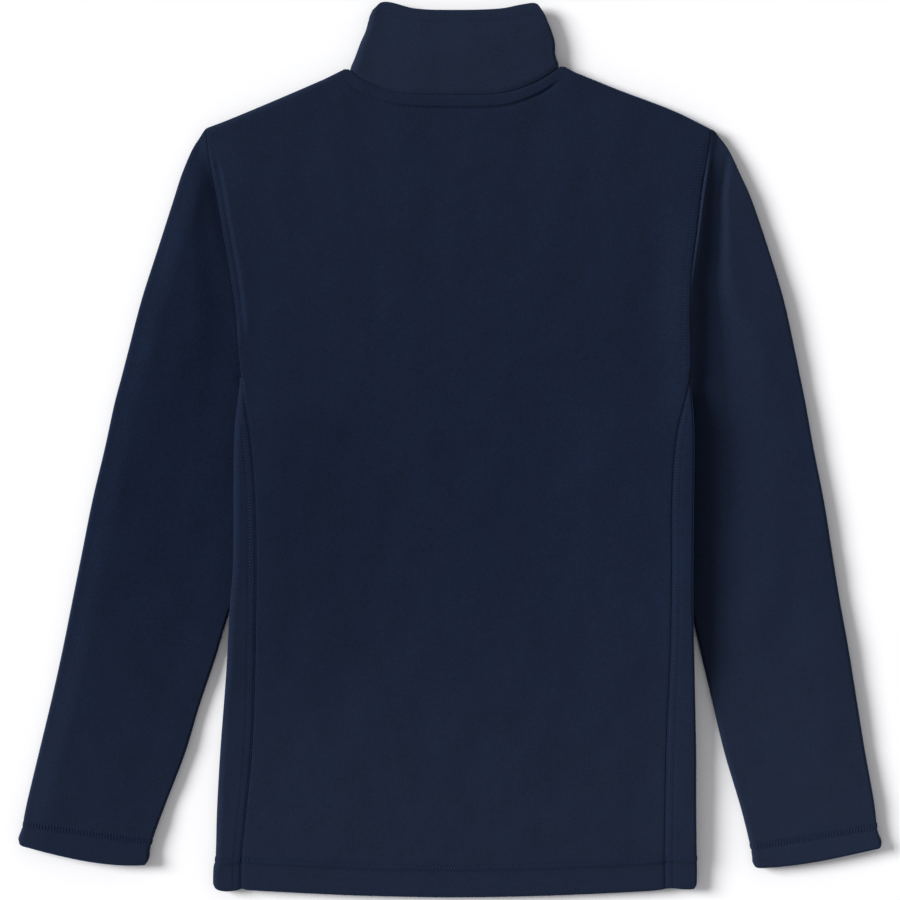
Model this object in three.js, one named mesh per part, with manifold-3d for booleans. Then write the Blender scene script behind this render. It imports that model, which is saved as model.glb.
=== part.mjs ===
// A fleece jacket with a full zip, laid flat on its front with the back up.
// Millimetres. +X to the viewer's right, +Y towards the collar, +Z up from the table.
// The origin is on the table, in the middle of the garment's footprint.

import * as THREE from 'three';
import { mergeVertices } from 'three/addons/utils/BufferGeometryUtils.js';
import Module from 'manifold-3d';

// Cloth thicknesses and the depths of the layers that lie on each other
const FLEECE = 2.6;
const TURNED_HEM = 4.6;
const TURNED_ZIP_EDGE = 5.2;
const COLLAR_WALL = 3.6;
const BODY_DEPTH = 9;
const HEM_DEPTH = 11;
const COLLAR_DEPTH = 10.9;
const HALF_SEAM = 0.25;
const COLLAR_SEAM = 0.6;
const COLLAR_END_SEAM = 1.5;
const SIDE_SEAM = 0.3;

// The garment's main sizes
const CENTRE_X = 5;
const ARMPIT_Y = 57;
const HEM_CENTRE_Y = -357.7;
const HEM_CORNER_RISE = 6.8;
const HEM_HALF_WIDTH = 192;
const HEM_TURN_UP = 24;
const ZIP_GAP = 11;
const ZIP_EDGE_TURN = 14;
const FRONT_SEAM_RATIO = 1.2;
const FRONT_NECK_Y = 262;
const FRONT_NECK_CURVE = 2.5;
const SHOULDER_FADE = 20;
const ARMPIT_FADE = 8;
const STITCH_FADE = 5;
const ZIP_EDGE_FADE = 4;

// The raised band that is stitched down under the collar seam
const NECK_BAND = { width: 10, raise: 1.2, fade: 1.5, endFade: 16 };

// The back stays level over the zip, as far from the middle as `flat`
const OVER_ZIP = { flat: 16, fade: 30 };

// The body is raised where the sleeves' inner folds lie under its sides
const SIDE_LIFT = 6.7;
const LIFT_FLAT = 25;
const LIFT_RAMP_END = 50;
const LIFT_Y = { top: ARMPIT_Y, fullTop: 20, fullFoot: -136, foot: -225 };

// The body's edges and side seams from the shoulder down to the hem
const BODY_ROWS = [
  { y: 258, leftEdge: -194.5, leftSeam: -194.5, rightSeam: 209.5, rightEdge: 209.5 },
  { y: 234, leftEdge: -192.4, leftSeam: -192.4, rightSeam: 203, rightEdge: 203 },
  { y: 205, leftEdge: -186.8, leftSeam: -186.8, rightSeam: 198, rightEdge: 198 },
  { y: 176, leftEdge: -182, leftSeam: -182, rightSeam: 194.8, rightEdge: 194.8 },
  { y: 141, leftEdge: -175.6, leftSeam: -175.6, rightSeam: 192, rightEdge: 192 },
  { y: 110, leftEdge: -171.4, leftSeam: -171.4, rightSeam: 192, rightEdge: 192 },
  { y: 80, leftEdge: -168.6, leftSeam: -168.6, rightSeam: 192.5, rightEdge: 192.5 },
  { y: 57, leftEdge: -167.8, leftSeam: -166.3, rightSeam: 191.5, rightEdge: 193.2 },
  { y: 14, leftEdge: -171.6, leftSeam: -158.8, rightSeam: 181.2, rightEdge: 195.4 },
  { y: -32, leftEdge: -172.4, leftSeam: -154.8, rightSeam: 177.2, rightEdge: 195.2 },
  { y: -92, leftEdge: -172.8, leftSeam: -153.6, rightSeam: 176.9, rightEdge: 194.6 },
  { y: -130, leftEdge: -175.8, leftSeam: -154, rightSeam: 176.5, rightEdge: 194.7 },
  { y: -173, leftEdge: -178.2, leftSeam: -154.8, rightSeam: 175.6, rightEdge: 195.8 },
  { y: -236, leftEdge: -183.2, leftSeam: -157.2, rightSeam: 173.2, rightEdge: 197.4 },
  { y: -288, leftEdge: -186.2, leftSeam: -162, rightSeam: 172.2, rightEdge: 197.6 },
  { y: -323, leftEdge: -187.2, leftSeam: -165.6, rightSeam: 171.6, rightEdge: 197.5 },
  { y: -359, leftEdge: -188, leftSeam: -166.5, rightSeam: 172.4, rightEdge: 197.2 },
];

// The shoulder lines, each from the collar out to the sleeve
const LEFT_SHOULDER = [
  { x: -194.5, y: 257.4 },
  { x: -178, y: 263.6 },
  { x: -139.6, y: 279.6 },
  { x: -102, y: 295.4 },
  { x: -82, y: 303.5 },
];
const RIGHT_SHOULDER = [
  { x: 90, y: 304.5 },
  { x: 106.8, y: 299.6 },
  { x: 135.6, y: 287.8 },
  { x: 178.8, y: 271.4 },
  { x: 209.5, y: 256.4 },
];

// The collar seam on the back panel
const BACK_NECK = [
  { x: -82, y: 303.5 },
  { x: -67.6, y: 294.4 },
  { x: -41.2, y: 285.4 },
  { x: 1.2, y: 283.6 },
  { x: 42.8, y: 285 },
  { x: 70.8, y: 294.4 },
  { x: 90, y: 304.5 },
];

const NECK_LEFT = BACK_NECK[0].x;
const NECK_RIGHT = BACK_NECK.at(-1).x;

// The collar's two side folds, from its seam up to its top edge
const COLLAR_ROWS = [
  { up: 0, left: -79.5, right: 88.2 },
  { up: 0.2, left: -77, right: 85 },
  { up: 0.45, left: -72, right: 84.2 },
  { up: 0.65, left: -67, right: 81.5 },
  { up: 0.85, left: -63, right: 77 },
  { up: 1, left: -60, right: 73.5 },
];

// The top edge of the collar's back, across from the left fold to the right one
const COLLAR_TOP = [
  { across: -1, y: 353 },
  { across: -0.9, y: 357.6 },
  { across: -0.75, y: 357.6 },
  { across: -0.45, y: 352.8 },
  { across: 0, y: 351.6 },
  { across: 0.45, y: 353 },
  { across: 0.75, y: 356 },
  { across: 0.92, y: 356.6 },
  { across: 1, y: 350 },
];
const COLLAR_TOP_DIP_FRONT = 24;

// The sleeves, a row for each section from the shoulder to the cuff. Each section runs from the
// outer fold to the inner one, which lies `tuck` inside the body's edge, or clear of it.
// The depths are of both layers together, and the valley is the dip beside the armhole seam.
const LEFT_SLEEVE = [
  { outerX: -199.2, outerY: 251, innerY: 252, tuck: 0, outerDepth: 8, innerDepth: 8.4, valley: 0 },
  { outerX: -206, outerY: 239.6, innerY: 236, tuck: 0, outerDepth: 8.8, innerDepth: 9, valley: 0.4 },
  { outerX: -214, outerY: 219.6, innerY: 212, tuck: 0, outerDepth: 9.1, innerDepth: 9, valley: 1.2 },
  { outerX: -220.4, outerY: 199.6, innerY: 188, tuck: 0, outerDepth: 9.1, innerDepth: 9, valley: 1.8 },
  { outerX: -233.2, outerY: 159.6, innerY: 141, tuck: 0, outerDepth: 9.1, innerDepth: 9, valley: 2 },
  { outerX: -246, outerY: 119.6, innerY: 96, tuck: 0, outerDepth: 9, innerDepth: 9, valley: 2 },
  { outerX: -256.4, outerY: 79.6, innerY: 57, tuck: -0.6, outerDepth: 8.8, innerDepth: 6.6, valley: 0 },
  { outerX: -262, outerY: 58, innerY: 38, tuck: -1, outerDepth: 8.6, innerDepth: 6.4, valley: 0 },
  { outerX: -267.8, outerY: 36, innerY: 18, tuck: -0.6, outerDepth: 8.6, innerDepth: 6.4, valley: 0 },
  { outerX: -275.6, outerY: 0, innerY: -12, tuck: 6, outerDepth: 8.6, innerDepth: 6.4, valley: 0 },
  { outerX: -285.2, outerY: -40.4, innerY: -48, tuck: 14, outerDepth: 8.6, innerDepth: 6.4, valley: 0 },
  { outerX: -293.2, outerY: -80.4, innerY: -86, tuck: 13, outerDepth: 8.8, innerDepth: 6.4, valley: 0 },
  { outerX: -301.2, outerY: -120.4, innerY: -128, tuck: 0, outerDepth: 8.8, innerDepth: 6.4, valley: 0 },
  { outerX: -309.2, outerY: -160.4, innerY: -166, tuck: -9.4, outerDepth: 8.8, innerDepth: 6.6, valley: 0 },
  { outerX: -318, outerY: -200.4, innerY: -203, tuck: -19, outerDepth: 8.8, innerDepth: 7, valley: 0 },
  { outerX: -327.6, outerY: -240.4, innerY: -243, tuck: -28, outerDepth: 8.6, innerDepth: 7.4, valley: 0 },
  { outerX: -337.2, outerY: -280.4, innerY: -286, tuck: -42, outerDepth: 8.6, innerDepth: 7.8, valley: 0 },
  { outerX: -340.2, outerY: -302, innerY: -317, tuck: -51, outerDepth: 9.1, innerDepth: 9, valley: 0 },
  { outerX: -344.4, outerY: -314, innerY: -329, tuck: -51, outerDepth: 10.4, innerDepth: 10.4, valley: 0 },
];
const RIGHT_SLEEVE = [
  { outerX: 213.8, outerY: 251, innerY: 252, tuck: 0, outerDepth: 8, innerDepth: 8.4, valley: 0 },
  { outerX: 223.6, outerY: 239.6, innerY: 236, tuck: 0, outerDepth: 8.8, innerDepth: 9, valley: 0.8 },
  { outerX: 233.2, outerY: 219.6, innerY: 212, tuck: 0, outerDepth: 9.1, innerDepth: 9, valley: 1.8 },
  { outerX: 241.2, outerY: 199.6, innerY: 188, tuck: 0, outerDepth: 9.1, innerDepth: 9, valley: 2.4 },
  { outerX: 254.8, outerY: 159.6, innerY: 141, tuck: 0, outerDepth: 9.1, innerDepth: 9, valley: 2.8 },
  { outerX: 266.8, outerY: 119.6, innerY: 96, tuck: 0, outerDepth: 9.1, innerDepth: 9, valley: 2.6 },
  { outerX: 275.6, outerY: 79.6, innerY: 57, tuck: -0.6, outerDepth: 9, innerDepth: 6.6, valley: 0 },
  { outerX: 280, outerY: 58, innerY: 38, tuck: -1, outerDepth: 8.8, innerDepth: 6.4, valley: 0 },
  { outerX: 284.4, outerY: 36, innerY: 18, tuck: -0.6, outerDepth: 8.8, innerDepth: 6.4, valley: 0 },
  { outerX: 290.8, outerY: 0, innerY: -12, tuck: 6, outerDepth: 8.8, innerDepth: 6.4, valley: 0 },
  { outerX: 298.8, outerY: -40.4, innerY: -48, tuck: 14, outerDepth: 9, innerDepth: 6.4, valley: 0 },
  { outerX: 305.2, outerY: -80.4, innerY: -86, tuck: 13, outerDepth: 9, innerDepth: 6.4, valley: 0 },
  { outerX: 311.6, outerY: -120.4, innerY: -128, tuck: 1.7, outerDepth: 8.8, innerDepth: 6.4, valley: 0 },
  { outerX: 318.8, outerY: -160.4, innerY: -166, tuck: -6.3, outerDepth: 8.8, innerDepth: 6.6, valley: 0 },
  { outerX: 325.2, outerY: -200.4, innerY: -203, tuck: -14.1, outerDepth: 8.8, innerDepth: 7, valley: 0 },
  { outerX: 331.6, outerY: -240.4, innerY: -243, tuck: -22.8, outerDepth: 8.6, innerDepth: 7.4, valley: 0 },
  { outerX: 338.8, outerY: -280.4, innerY: -288, tuck: -36, outerDepth: 8.6, innerDepth: 7.8, valley: 0 },
  { outerX: 340.4, outerY: -303.6, innerY: -320.4, tuck: -45, outerDepth: 9.1, innerDepth: 9, valley: 0 },
  { outerX: 344.4, outerY: -316, innerY: -334, tuck: -47.6, outerDepth: 10.4, innerDepth: 10.4, valley: 0 },
];
const ARMPIT_ROW = 6;
const CUFF_STITCH_ROW = 17;
const CUFF_TURN_ROWS = { start: 16.5, end: 17.2 };
const CUFF_BOW = 6;
const SLEEVE_SLOPE_START = 0.3;
const VALLEY = { across: 0.8, halfWidth: 0.2 };
const LEAST_SLEEVE_DEPTH = 6;

// Broad soft folds in the upper layers: where each lies, its half length and half width,
// the turn of its length from +Y, and how far it rises or sinks
const BROAD_FOLDS = [
  { x: -96, y: -12, long: 90, wide: 26, turn: 8, rise: -0.8 },
  { x: 74, y: -50, long: 60, wide: 34, turn: -50, rise: -0.9 },
  { x: 112, y: -190, long: 75, wide: 20, turn: 20, rise: -1 },
  { x: -126, y: -95, long: 80, wide: 14, turn: 0, rise: -0.7 },
  { x: -90, y: -260, long: 60, wide: 50, turn: 60, rise: 0.2 },
  { x: 130, y: 60, long: 90, wide: 30, turn: 0, rise: 0.2 },
  { x: 276, y: -104, long: 90, wide: 12, turn: 6, rise: -1.2 },
  { x: -212, y: 84, long: 40, wide: 26, turn: 10, rise: 0.3 },
  { x: -240, y: -60, long: 90, wide: 26, turn: 14, rise: -0.9 },
  { x: -262, y: -230, long: 80, wide: 18, turn: 24, rise: 0.4 },
];

// The zip: tapes with the coil under them, and the slider drawn up to the collar's top
const TAPE = { inner: 1.3, outer: 13.5, low: 5.5, high: 6.1, top: 330, foot: -356 };
const SLIDER = {
  y: 319, halfLength: 6, halfWidth: 4.3,
  upperLow: 6.4, upperHigh: 7.1, lowerLow: 2.8, lowerHigh: 3.6, bridge: 0.9,
};
const SLIDER_CORNER = 2;
const SLIDER_POST = { fromFront: 3, length: 2 };
const CROWN = { halfWidth: 0.9, halfLength: 4, outer: 0.3, inner: 1.1, legLength: 1 };
const PULL = {
  axisZ: 1.95, thickness: 1.1, halfWidth: 3.2, length: 24,
  slotHalfWidth: 1.5, slotLength: 4.6, barHalf: 0.55,
};
const ZIP_BOX = { halfWidth: 4.2, low: 2.2, high: 5.2, foot: -356, top: -346, corner: 1 };
const ARC_SEGMENTS = 4;

// How finely the walls are divided
const LINES_BELOW_ARMPIT = 16;
const LINES_ABOVE_ARMPIT = 10;
const SHOULDER_LINES = 5;
const SHOULDER_ROLL = 12;
const SLEEVE_LINES = [9, 16];
const SEAM_COLUMN = 0.015;
const BACK_COLUMNS = [1, 4, 9, 4, 1];
const FRONT_COLUMNS = [2, 4, 4, 1];
const SIDE_COLUMNS = { top: 6, foot: 7 };
const SLEEVE_MIDDLE_COLUMNS = 5;
const FOLD_COLUMNS = 3;
const FOLD_REACH = 6;
const MOST_FOLD_SHARE = 0.4;
const COLLAR_COLUMNS = { front: 6, back: 18 };
const COLLAR_LINES = 7;
const SLOPE_STEP = 0.1;

const NAVY = '#1a2335';
const NAVY_TAPE = '#161d2b';
const NAVY_PLASTIC = '#1b2230';
const GUNMETAL = '#3a3d42';

const clothMaterial = (colour) => new THREE.MeshStandardMaterial({
  color: colour, roughness: 0.95, metalness: 0, flatShading: true,
});
const plasticMaterial = () => new THREE.MeshStandardMaterial({
  color: NAVY_PLASTIC, roughness: 0.5, metalness: 0, flatShading: true,
});
const metalMaterial = () => new THREE.MeshStandardMaterial({
  color: GUNMETAL, roughness: 0.4, metalness: 0.8, flatShading: true,
});

const wasm = await Module();
wasm.setup();

const jacket = new THREE.Group();

function addPiece(name, geometry, material) {
  const mesh = new THREE.Mesh(geometry, material);
  mesh.name = name;
  jacket.add(mesh);
}

// Small shared functions

const mix = (a, b, share) => a + (b - a) * share;
const clamp01 = (value) => Math.min(Math.max(value, 0), 1);

// 0 at `from`, 1 at `to`, level at both ends; `from` may be the larger
function ease(from, to, value) {
  const share = clamp01((value - from) / (to - from));
  return share * share * (3 - 2 * share);
}

// A smooth curve through one column of a table, against another column
function readTable(table, key, column, value) {
  const rising = table[table.length - 1][key] > table[0][key];
  const rows = rising ? table : [...table].reverse();
  const last = rows.length - 1;
  if (value <= rows[0][key]) return rows[0][column];
  if (value >= rows[last][key]) return rows[last][column];
  let at = 0;
  while (rows[at + 1][key] < value) at += 1;
  const slope = (index) => {
    const before = rows[Math.max(index - 1, 0)];
    const after = rows[Math.min(index + 1, last)];
    return (after[column] - before[column]) / (after[key] - before[key]);
  };
  const step = rows[at + 1][key] - rows[at][key];
  const t = (value - rows[at][key]) / step;
  const t2 = t * t;
  const t3 = t2 * t;
  return (2 * t3 - 3 * t2 + 1) * rows[at][column] + (t3 - 2 * t2 + t) * step * slope(at)
    + (3 * t2 - 2 * t3) * rows[at + 1][column] + (t3 - t2) * step * slope(at + 1);
}

const bodyRow = (column, y) => readTable(BODY_ROWS, 'y', column, y);

// The hem's lower edge, which rises a little towards the side folds
function hemY(x) {
  const across = clamp01(Math.abs((x - CENTRE_X) / HEM_HALF_WIDTH));
  return HEM_CENTRE_Y + HEM_CORNER_RISE * across ** 2;
}

// The collar seam's height on the front panels
function frontNeckY(x) {
  const middle = (NECK_LEFT + NECK_RIGHT) / 2;
  const across = clamp01(Math.abs(x - middle) / (NECK_RIGHT - middle));
  const endY = mix(BACK_NECK[0].y, BACK_NECK.at(-1).y, ease(NECK_LEFT, NECK_RIGHT, x));
  return mix(FRONT_NECK_Y, endY, across ** FRONT_NECK_CURVE);
}

// The top edge of a body panel: collar seam in the middle, a shoulder line on each side
function panelTopY(x, neckY) {
  if (x < NECK_LEFT) return readTable(LEFT_SHOULDER, 'x', 'y', x);
  if (x > NECK_RIGHT) return readTable(RIGHT_SHOULDER, 'x', 'y', x);
  return neckY(x);
}
const backNeckY = (x) => readTable(BACK_NECK, 'x', 'y', x);

// How round a folded edge is, 0 on the fold and 1 where the layers lie flat
function foldRound(distance, depth) {
  const share = clamp01(distance / (depth / 2));
  return Math.sqrt(1 - (1 - share) ** 2);
}

function broadFolds(x, y) {
  let rise = 0;
  for (const fold of BROAD_FOLDS) {
    const turn = THREE.MathUtils.degToRad(fold.turn);
    const alongFold = ((y - fold.y) * Math.cos(turn) + (x - fold.x) * Math.sin(turn)) / fold.long;
    const acrossFold = ((x - fold.x) * Math.cos(turn) - (y - fold.y) * Math.sin(turn)) / fold.wide;
    rise += fold.rise * Math.exp(-(alongFold ** 2 + acrossFold ** 2));
  }
  return rise;
}

// The body's two outer faces, the back on top and the fronts on the table

const hemShare = (x, y) => ease(HEM_TURN_UP, HEM_TURN_UP - STITCH_FADE, y - hemY(x));

function sideLift(x, y) {
  const window = ease(LIFT_Y.top, LIFT_Y.fullTop, y) * ease(LIFT_Y.foot, LIFT_Y.fullFoot, y);
  const fromLeft = ease(LIFT_RAMP_END, LIFT_FLAT, x - bodyRow('leftEdge', y));
  const fromRight = ease(LIFT_RAMP_END, LIFT_FLAT, bodyRow('rightEdge', y) - x);
  return SIDE_LIFT * window * Math.max(fromLeft, fromRight);
}

const foldDepth = (x, y) => mix(BODY_DEPTH, HEM_DEPTH, hemShare(x, y));

// How round the body's nearest side or shoulder fold makes it at a point
function bodyRound(x, y) {
  const depth = foldDepth(x, y);
  const fromSide = Math.min(x - bodyRow('leftEdge', y), bodyRow('rightEdge', y) - x);
  const sideFolded = ease(ARMPIT_Y + ARMPIT_FADE, ARMPIT_Y - ARMPIT_FADE, y);
  const side = mix(1, foldRound(fromSide, depth), sideFolded);
  const pastCollar = Math.max(NECK_LEFT - x, x - NECK_RIGHT);
  const shoulderFolded = ease(0, SHOULDER_FADE, pastCollar);
  const shoulder = mix(1, foldRound(panelTopY(x, backNeckY) - y, depth), shoulderFolded);
  return Math.min(side, shoulder);
}

function bodyTopZ(x, y) {
  const depth = foldDepth(x, y);
  const overZip = ease(OVER_ZIP.fade, OVER_ZIP.flat, Math.abs(x - CENTRE_X));
  const folds = broadFolds(x, y) * (1 - overZip) * (1 - hemShare(x, y)) * bodyRound(x, y);
  return sideLift(x, y) + depth / 2 * (1 + bodyRound(x, y)) + folds;
}
const bodyUndersideZ = (x, y) => sideLift(x, y) + foldDepth(x, y) / 2 * (1 - bodyRound(x, y));

const hemThickness = (x, y) => mix(FLEECE, TURNED_HEM, hemShare(x, y));

function neckBandShare(x, y) {
  const below = backNeckY(x) - y;
  const inside = ease(NECK_LEFT, NECK_LEFT + NECK_BAND.endFade, x)
    * ease(NECK_RIGHT, NECK_RIGHT - NECK_BAND.endFade, x);
  return inside * ease(NECK_BAND.width + NECK_BAND.fade, NECK_BAND.width - NECK_BAND.fade, below);
}

// How far the cloth is turned in along the zip, 1 at its edge and 0 past the turning
function zipEdgeShare(x) {
  const fromEdge = Math.abs(x - CENTRE_X) - ZIP_GAP / 2;
  return ease(ZIP_EDGE_TURN + ZIP_EDGE_FADE, ZIP_EDGE_TURN, fromEdge);
}

function frontThickness(x, y) {
  return Math.max(mix(FLEECE, TURNED_ZIP_EDGE, zipEdgeShare(x)), hemThickness(x, y));
}

// Cloth walls

// The direction of a grid's line at a point, from the points before and after it
function lineDirection(before, at, after) {
  const direction = new THREE.Vector3();
  for (const [from, to] of [[before, at], [at, after]]) {
    const step = to.clone().sub(from);
    const length = step.length();
    if (length > 0) direction.add(step.divideScalar(length * length));
  }
  return direction.normalize();
}

// The direction across a surface at a point, along +X or -X
function slopeAt(point, surfaceZ, way) {
  const step = SLOPE_STEP * way;
  const rise = surfaceZ(point.x + step, point.y) - surfaceZ(point.x - step, point.y);
  return new THREE.Vector3(2 * step, 0, rise).normalize();
}

// The point that mirrors another across a seam at a given level
const mirrored = (point, level) => new THREE.Vector3(point.x, point.y, 2 * level - point.z);

// A closed wall: the grid's own points are its outer face, and the same points moved in by the
// cloth's thickness are its inner one. From row `closedFrom` the grid's ends meet in a tube.
// Where the last row lies at the level `seamZ`, the cloth rolls over to a seam there. At its first
// and last columns the slope comes from `surfaces`, so that two pieces have one slope at a seam.
function clothWall(grid, thicknessAt, { closedFrom = Infinity, seamZ = null, surfaces } = {}) {
  const lastRow = grid.length - 1;
  const lastColumn = grid[0].length - 1;
  const isTube = (row) => row >= closedFrom;
  const inner = grid.map((line, row) => line.map((point, column) => {
    const tube = isTube(row);
    const before = column > 0 ? line[column - 1] : (tube ? line[lastColumn - 1] : point);
    const after = column < lastColumn ? line[column + 1] : (tube ? line[1] : point);
    const isSeam = surfaces && (column === 0 || column === lastColumn);
    const across = isSeam
      ? slopeAt(point, surfaces[column === 0 ? 0 : 1], Math.sign(after.x - before.x))
      : lineDirection(before, point, after);
    const previous = grid[Math.max(row - 1, 0)][column];
    const rolls = row === lastRow && seamZ !== null && Math.abs(point.z - seamZ) < FLEECE / 2;
    const next = rolls ? mirrored(previous, seamZ) : grid[Math.min(row + 1, lastRow)][column];
    const along = lineDirection(previous, point, next);
    const outward = across.cross(along).normalize();
    return point.clone().addScaledVector(outward, -thicknessAt(point, row, column));
  }));
  const positions = [];
  const addPoint = (point, row, column) => {
    if (column === lastColumn && isTube(row)) return null;
    positions.push(point.x, point.y, point.z);
    return positions.length / 3 - 1;
  };
  const numbers = [grid, inner].map((layer) => layer.map(
    (line, row) => line.map((point, column) => addPoint(point, row, column))));
  const number = (layer, row, column) => numbers[layer][row][column] ?? numbers[layer][row][0];
  const index = [];
  const quad = (a, b, c, d) => index.push(a, b, c, a, c, d);
  for (let row = 0; row < lastRow; row += 1) {
    for (let column = 0; column < lastColumn; column += 1) {
      const corners = [[row, column], [row, column + 1], [row + 1, column + 1], [row + 1, column]];
      quad(...corners.map(([r, c]) => number(0, r, c)));
      quad(...corners.reverse().map(([r, c]) => number(1, r, c)));
    }
  }
  const border = (from, to) => quad(
    number(0, ...to), number(0, ...from), number(1, ...from), number(1, ...to));
  for (let column = 0; column < lastColumn; column += 1) {
    border([0, column], [0, column + 1]);
    border([lastRow, column + 1], [lastRow, column]);
  }
  for (let row = 0; row < lastRow; row += 1) {
    if (isTube(row)) break;
    border([row + 1, 0], [row, 0]);
    border([row, lastColumn], [row + 1, lastColumn]);
  }
  const geometry = new THREE.BufferGeometry();
  geometry.setAttribute('position', new THREE.Float32BufferAttribute(positions, 3));
  geometry.setIndex(index);
  return geometry;
}

// Shares from 0 to 1 in equal steps
const evenShares = (count) => Array.from({ length: count + 1 }, (_, step) => step / count);

// A body panel's rows: even up to the armpit, even again to near the top, and closer together
// where the shoulder rolls over
function panelRows() {
  const low = evenShares(LINES_BELOW_ARMPIT);
  const high = evenShares(LINES_ABOVE_ARMPIT).slice(1);
  const roll = evenShares(SHOULDER_LINES).slice(1);
  return [
    ...low.map((share) => (foot) => mix(foot, ARMPIT_Y, share)),
    ...high.map((share) => (foot, top) => mix(ARMPIT_Y, top - SHOULDER_ROLL, share)),
    ...roll.map((share) => (foot, top) => top - SHOULDER_ROLL * (1 - share) ** 2),
  ];
}

// A point of a body panel, at a share of the way across between its two side edges
function panelPoint(across, rowY, leftX, rightX, neckY, topX) {
  const foot = hemY(mix(leftX(HEM_CENTRE_Y), rightX(HEM_CENTRE_Y), across));
  const top = panelTopY(topX(across), neckY) - HALF_SEAM;
  const y = rowY(foot, top);
  return { x: mix(leftX(y), rightX(y), across), y };
}

function columnsBetween(stops, counts) {
  const columns = [stops[0]];
  counts.forEach((count, part) => {
    for (let step = 1; step <= count; step += 1) {
      columns.push(mix(stops[part], stops[part + 1], step / count));
    }
  });
  return columns;
}

function buildBack() {
  const left = (y) => bodyRow('leftSeam', y) + HALF_SEAM;
  const right = (y) => bodyRow('rightSeam', y) - HALF_SEAM;
  const tipLeft = left(LEFT_SHOULDER[0].y);
  const tipRight = right(RIGHT_SHOULDER.at(-1).y);
  const share = (x) => (x - tipLeft) / (tipRight - tipLeft);
  const stops = [0, SEAM_COLUMN, share(NECK_LEFT), share(NECK_RIGHT), 1 - SEAM_COLUMN, 1];
  const columns = columnsBetween(stops, BACK_COLUMNS);
  const topX = (across) => mix(tipLeft, tipRight, across);
  const grid = panelRows().map((row) => columns.map((across) => {
    const { x, y } = panelPoint(across, row, left, right, backNeckY, topX);
    const raise = NECK_BAND.raise * neckBandShare(x, y);
    return new THREE.Vector3(x, y, Math.max(bodyTopZ(x, y), bodyMiddle(x, y)) + raise);
  }));
  const thickness = ({ x, y }) => hemThickness(x, y) + NECK_BAND.raise * neckBandShare(x, y);
  const seams = { seamZ: BODY_DEPTH / 2, surfaces: [bodyTopZ, bodyTopZ] };
  addPiece('back', clothWall(grid, thickness, seams), clothMaterial(NAVY));
}

// The level at which the back meets the fronts along the shoulders, less half a seam
const bodyMiddle = (x, y) => sideLift(x, y) + foldDepth(x, y) / 2 + HALF_SEAM;

const sideInset = (side, y) => Math.abs(bodyRow(`${side}Edge`, y) - bodyRow(`${side}Seam`, y));

function buildFront(side) {
  const sign = side === 'left' ? -1 : 1;
  const zipX = () => CENTRE_X + sign * ZIP_GAP / 2;
  const sideX = (y) => {
    const inset = FRONT_SEAM_RATIO * sideInset(side, y) + HALF_SEAM;
    return bodyRow(`${side}Edge`, y) - sign * inset;
  };
  const tip = sideX(LEFT_SHOULDER[0].y);
  const share = (x) => (x - zipX()) / (tip - zipX());
  const turnShare = share(zipX() + sign * (ZIP_EDGE_TURN + ZIP_EDGE_FADE));
  const neckShare = share(side === 'left' ? NECK_LEFT : NECK_RIGHT);
  const stops = [0, turnShare, neckShare, 1 - 2 * SEAM_COLUMN, 1];
  const columns = columnsBetween(stops, FRONT_COLUMNS);
  const topX = (across) => mix(zipX(), tip, across);
  const grid = panelRows().map((row) => columns.map((across) => {
    const { x, y } = panelPoint(across, row, zipX, sideX, frontNeckY, topX);
    const level = Math.min(bodyUndersideZ(x, y), bodyMiddle(x, y) - 2 * HALF_SEAM);
    return new THREE.Vector3(x, y, level);
  }));
  if (side === 'right') grid.forEach((line) => line.reverse());
  const thickness = ({ x, y }) => frontThickness(x, y);
  const surfaces = [bodyUndersideZ, bodyUndersideZ];
  const geometry = clothWall(grid, thickness, { seamZ: BODY_DEPTH / 2, surfaces });
  addPiece(`front_${side}`, geometry, clothMaterial(NAVY));
}

const squares = (count) => evenShares(count).map((share) => share * share);

function buildSide(side) {
  const sign = side === 'left' ? -1 : 1;
  const topShares = squares(SIDE_COLUMNS.top).reverse();
  const footShares = squares(SIDE_COLUMNS.foot).slice(1);
  const hemEdge = bodyRow(`${side}Edge`, HEM_CENTRE_Y);
  const hemInset = sideInset(side, HEM_CENTRE_Y);
  const place = (share, part, isTop) => {
    const ratio = isTop ? 1 : FRONT_SEAM_RATIO;
    const foot = hemY(hemEdge - sign * hemInset * ratio * part);
    const y = mix(ARMPIT_Y, foot, share) - (share === 0 ? 2 * HALF_SEAM : 0);
    const distance = (sideInset(side, y) * ratio - SIDE_SEAM) * part;
    const x = bodyRow(`${side}Edge`, y) - sign * distance;
    if (part === 0) return new THREE.Vector3(x, y, sideLift(x, y) + foldDepth(x, y) / 2);
    return new THREE.Vector3(x, y, isTop ? bodyTopZ(x, y) : bodyUndersideZ(x, y));
  };
  const grid = evenShares(LINES_BELOW_ARMPIT).map((share) => {
    const top = topShares.map((part) => place(share, part, true));
    const foot = footShares.map((part) => place(share, part, false));
    const line = [...top, ...foot];
    return side === 'left' ? line : line.reverse();
  });
  const surfaces = [bodyTopZ, bodyUndersideZ];
  if (side === 'right') surfaces.reverse();
  const thickness = ({ x, y }) => hemThickness(x, y);
  addPiece(`side_${side}`, clothWall(grid, thickness, { surfaces }), clothMaterial(NAVY));
}

// Where a sleeve's section lies between two rows of its table
function sleeveSection(table, at) {
  const numbered = table.map((row, number) => ({ ...row, number }));
  const read = (column) => readTable(numbered, 'number', column, at);
  return Object.fromEntries(Object.keys(table[0]).map((column) => [column, read(column)]));
}

// Distances across a sleeve, closer together at its two folds
function acrossSleeve(width) {
  const reach = Math.min(FOLD_REACH, width * MOST_FOLD_SHARE);
  const near = squares(FOLD_COLUMNS).map((share) => share * reach);
  const middleShares = evenShares(SLEEVE_MIDDLE_COLUMNS).slice(1, -1);
  const middle = middleShares.map((share) => mix(reach, width - reach, share));
  return [...near, ...middle, ...near.map((distance) => width - distance).reverse()];
}

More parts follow.
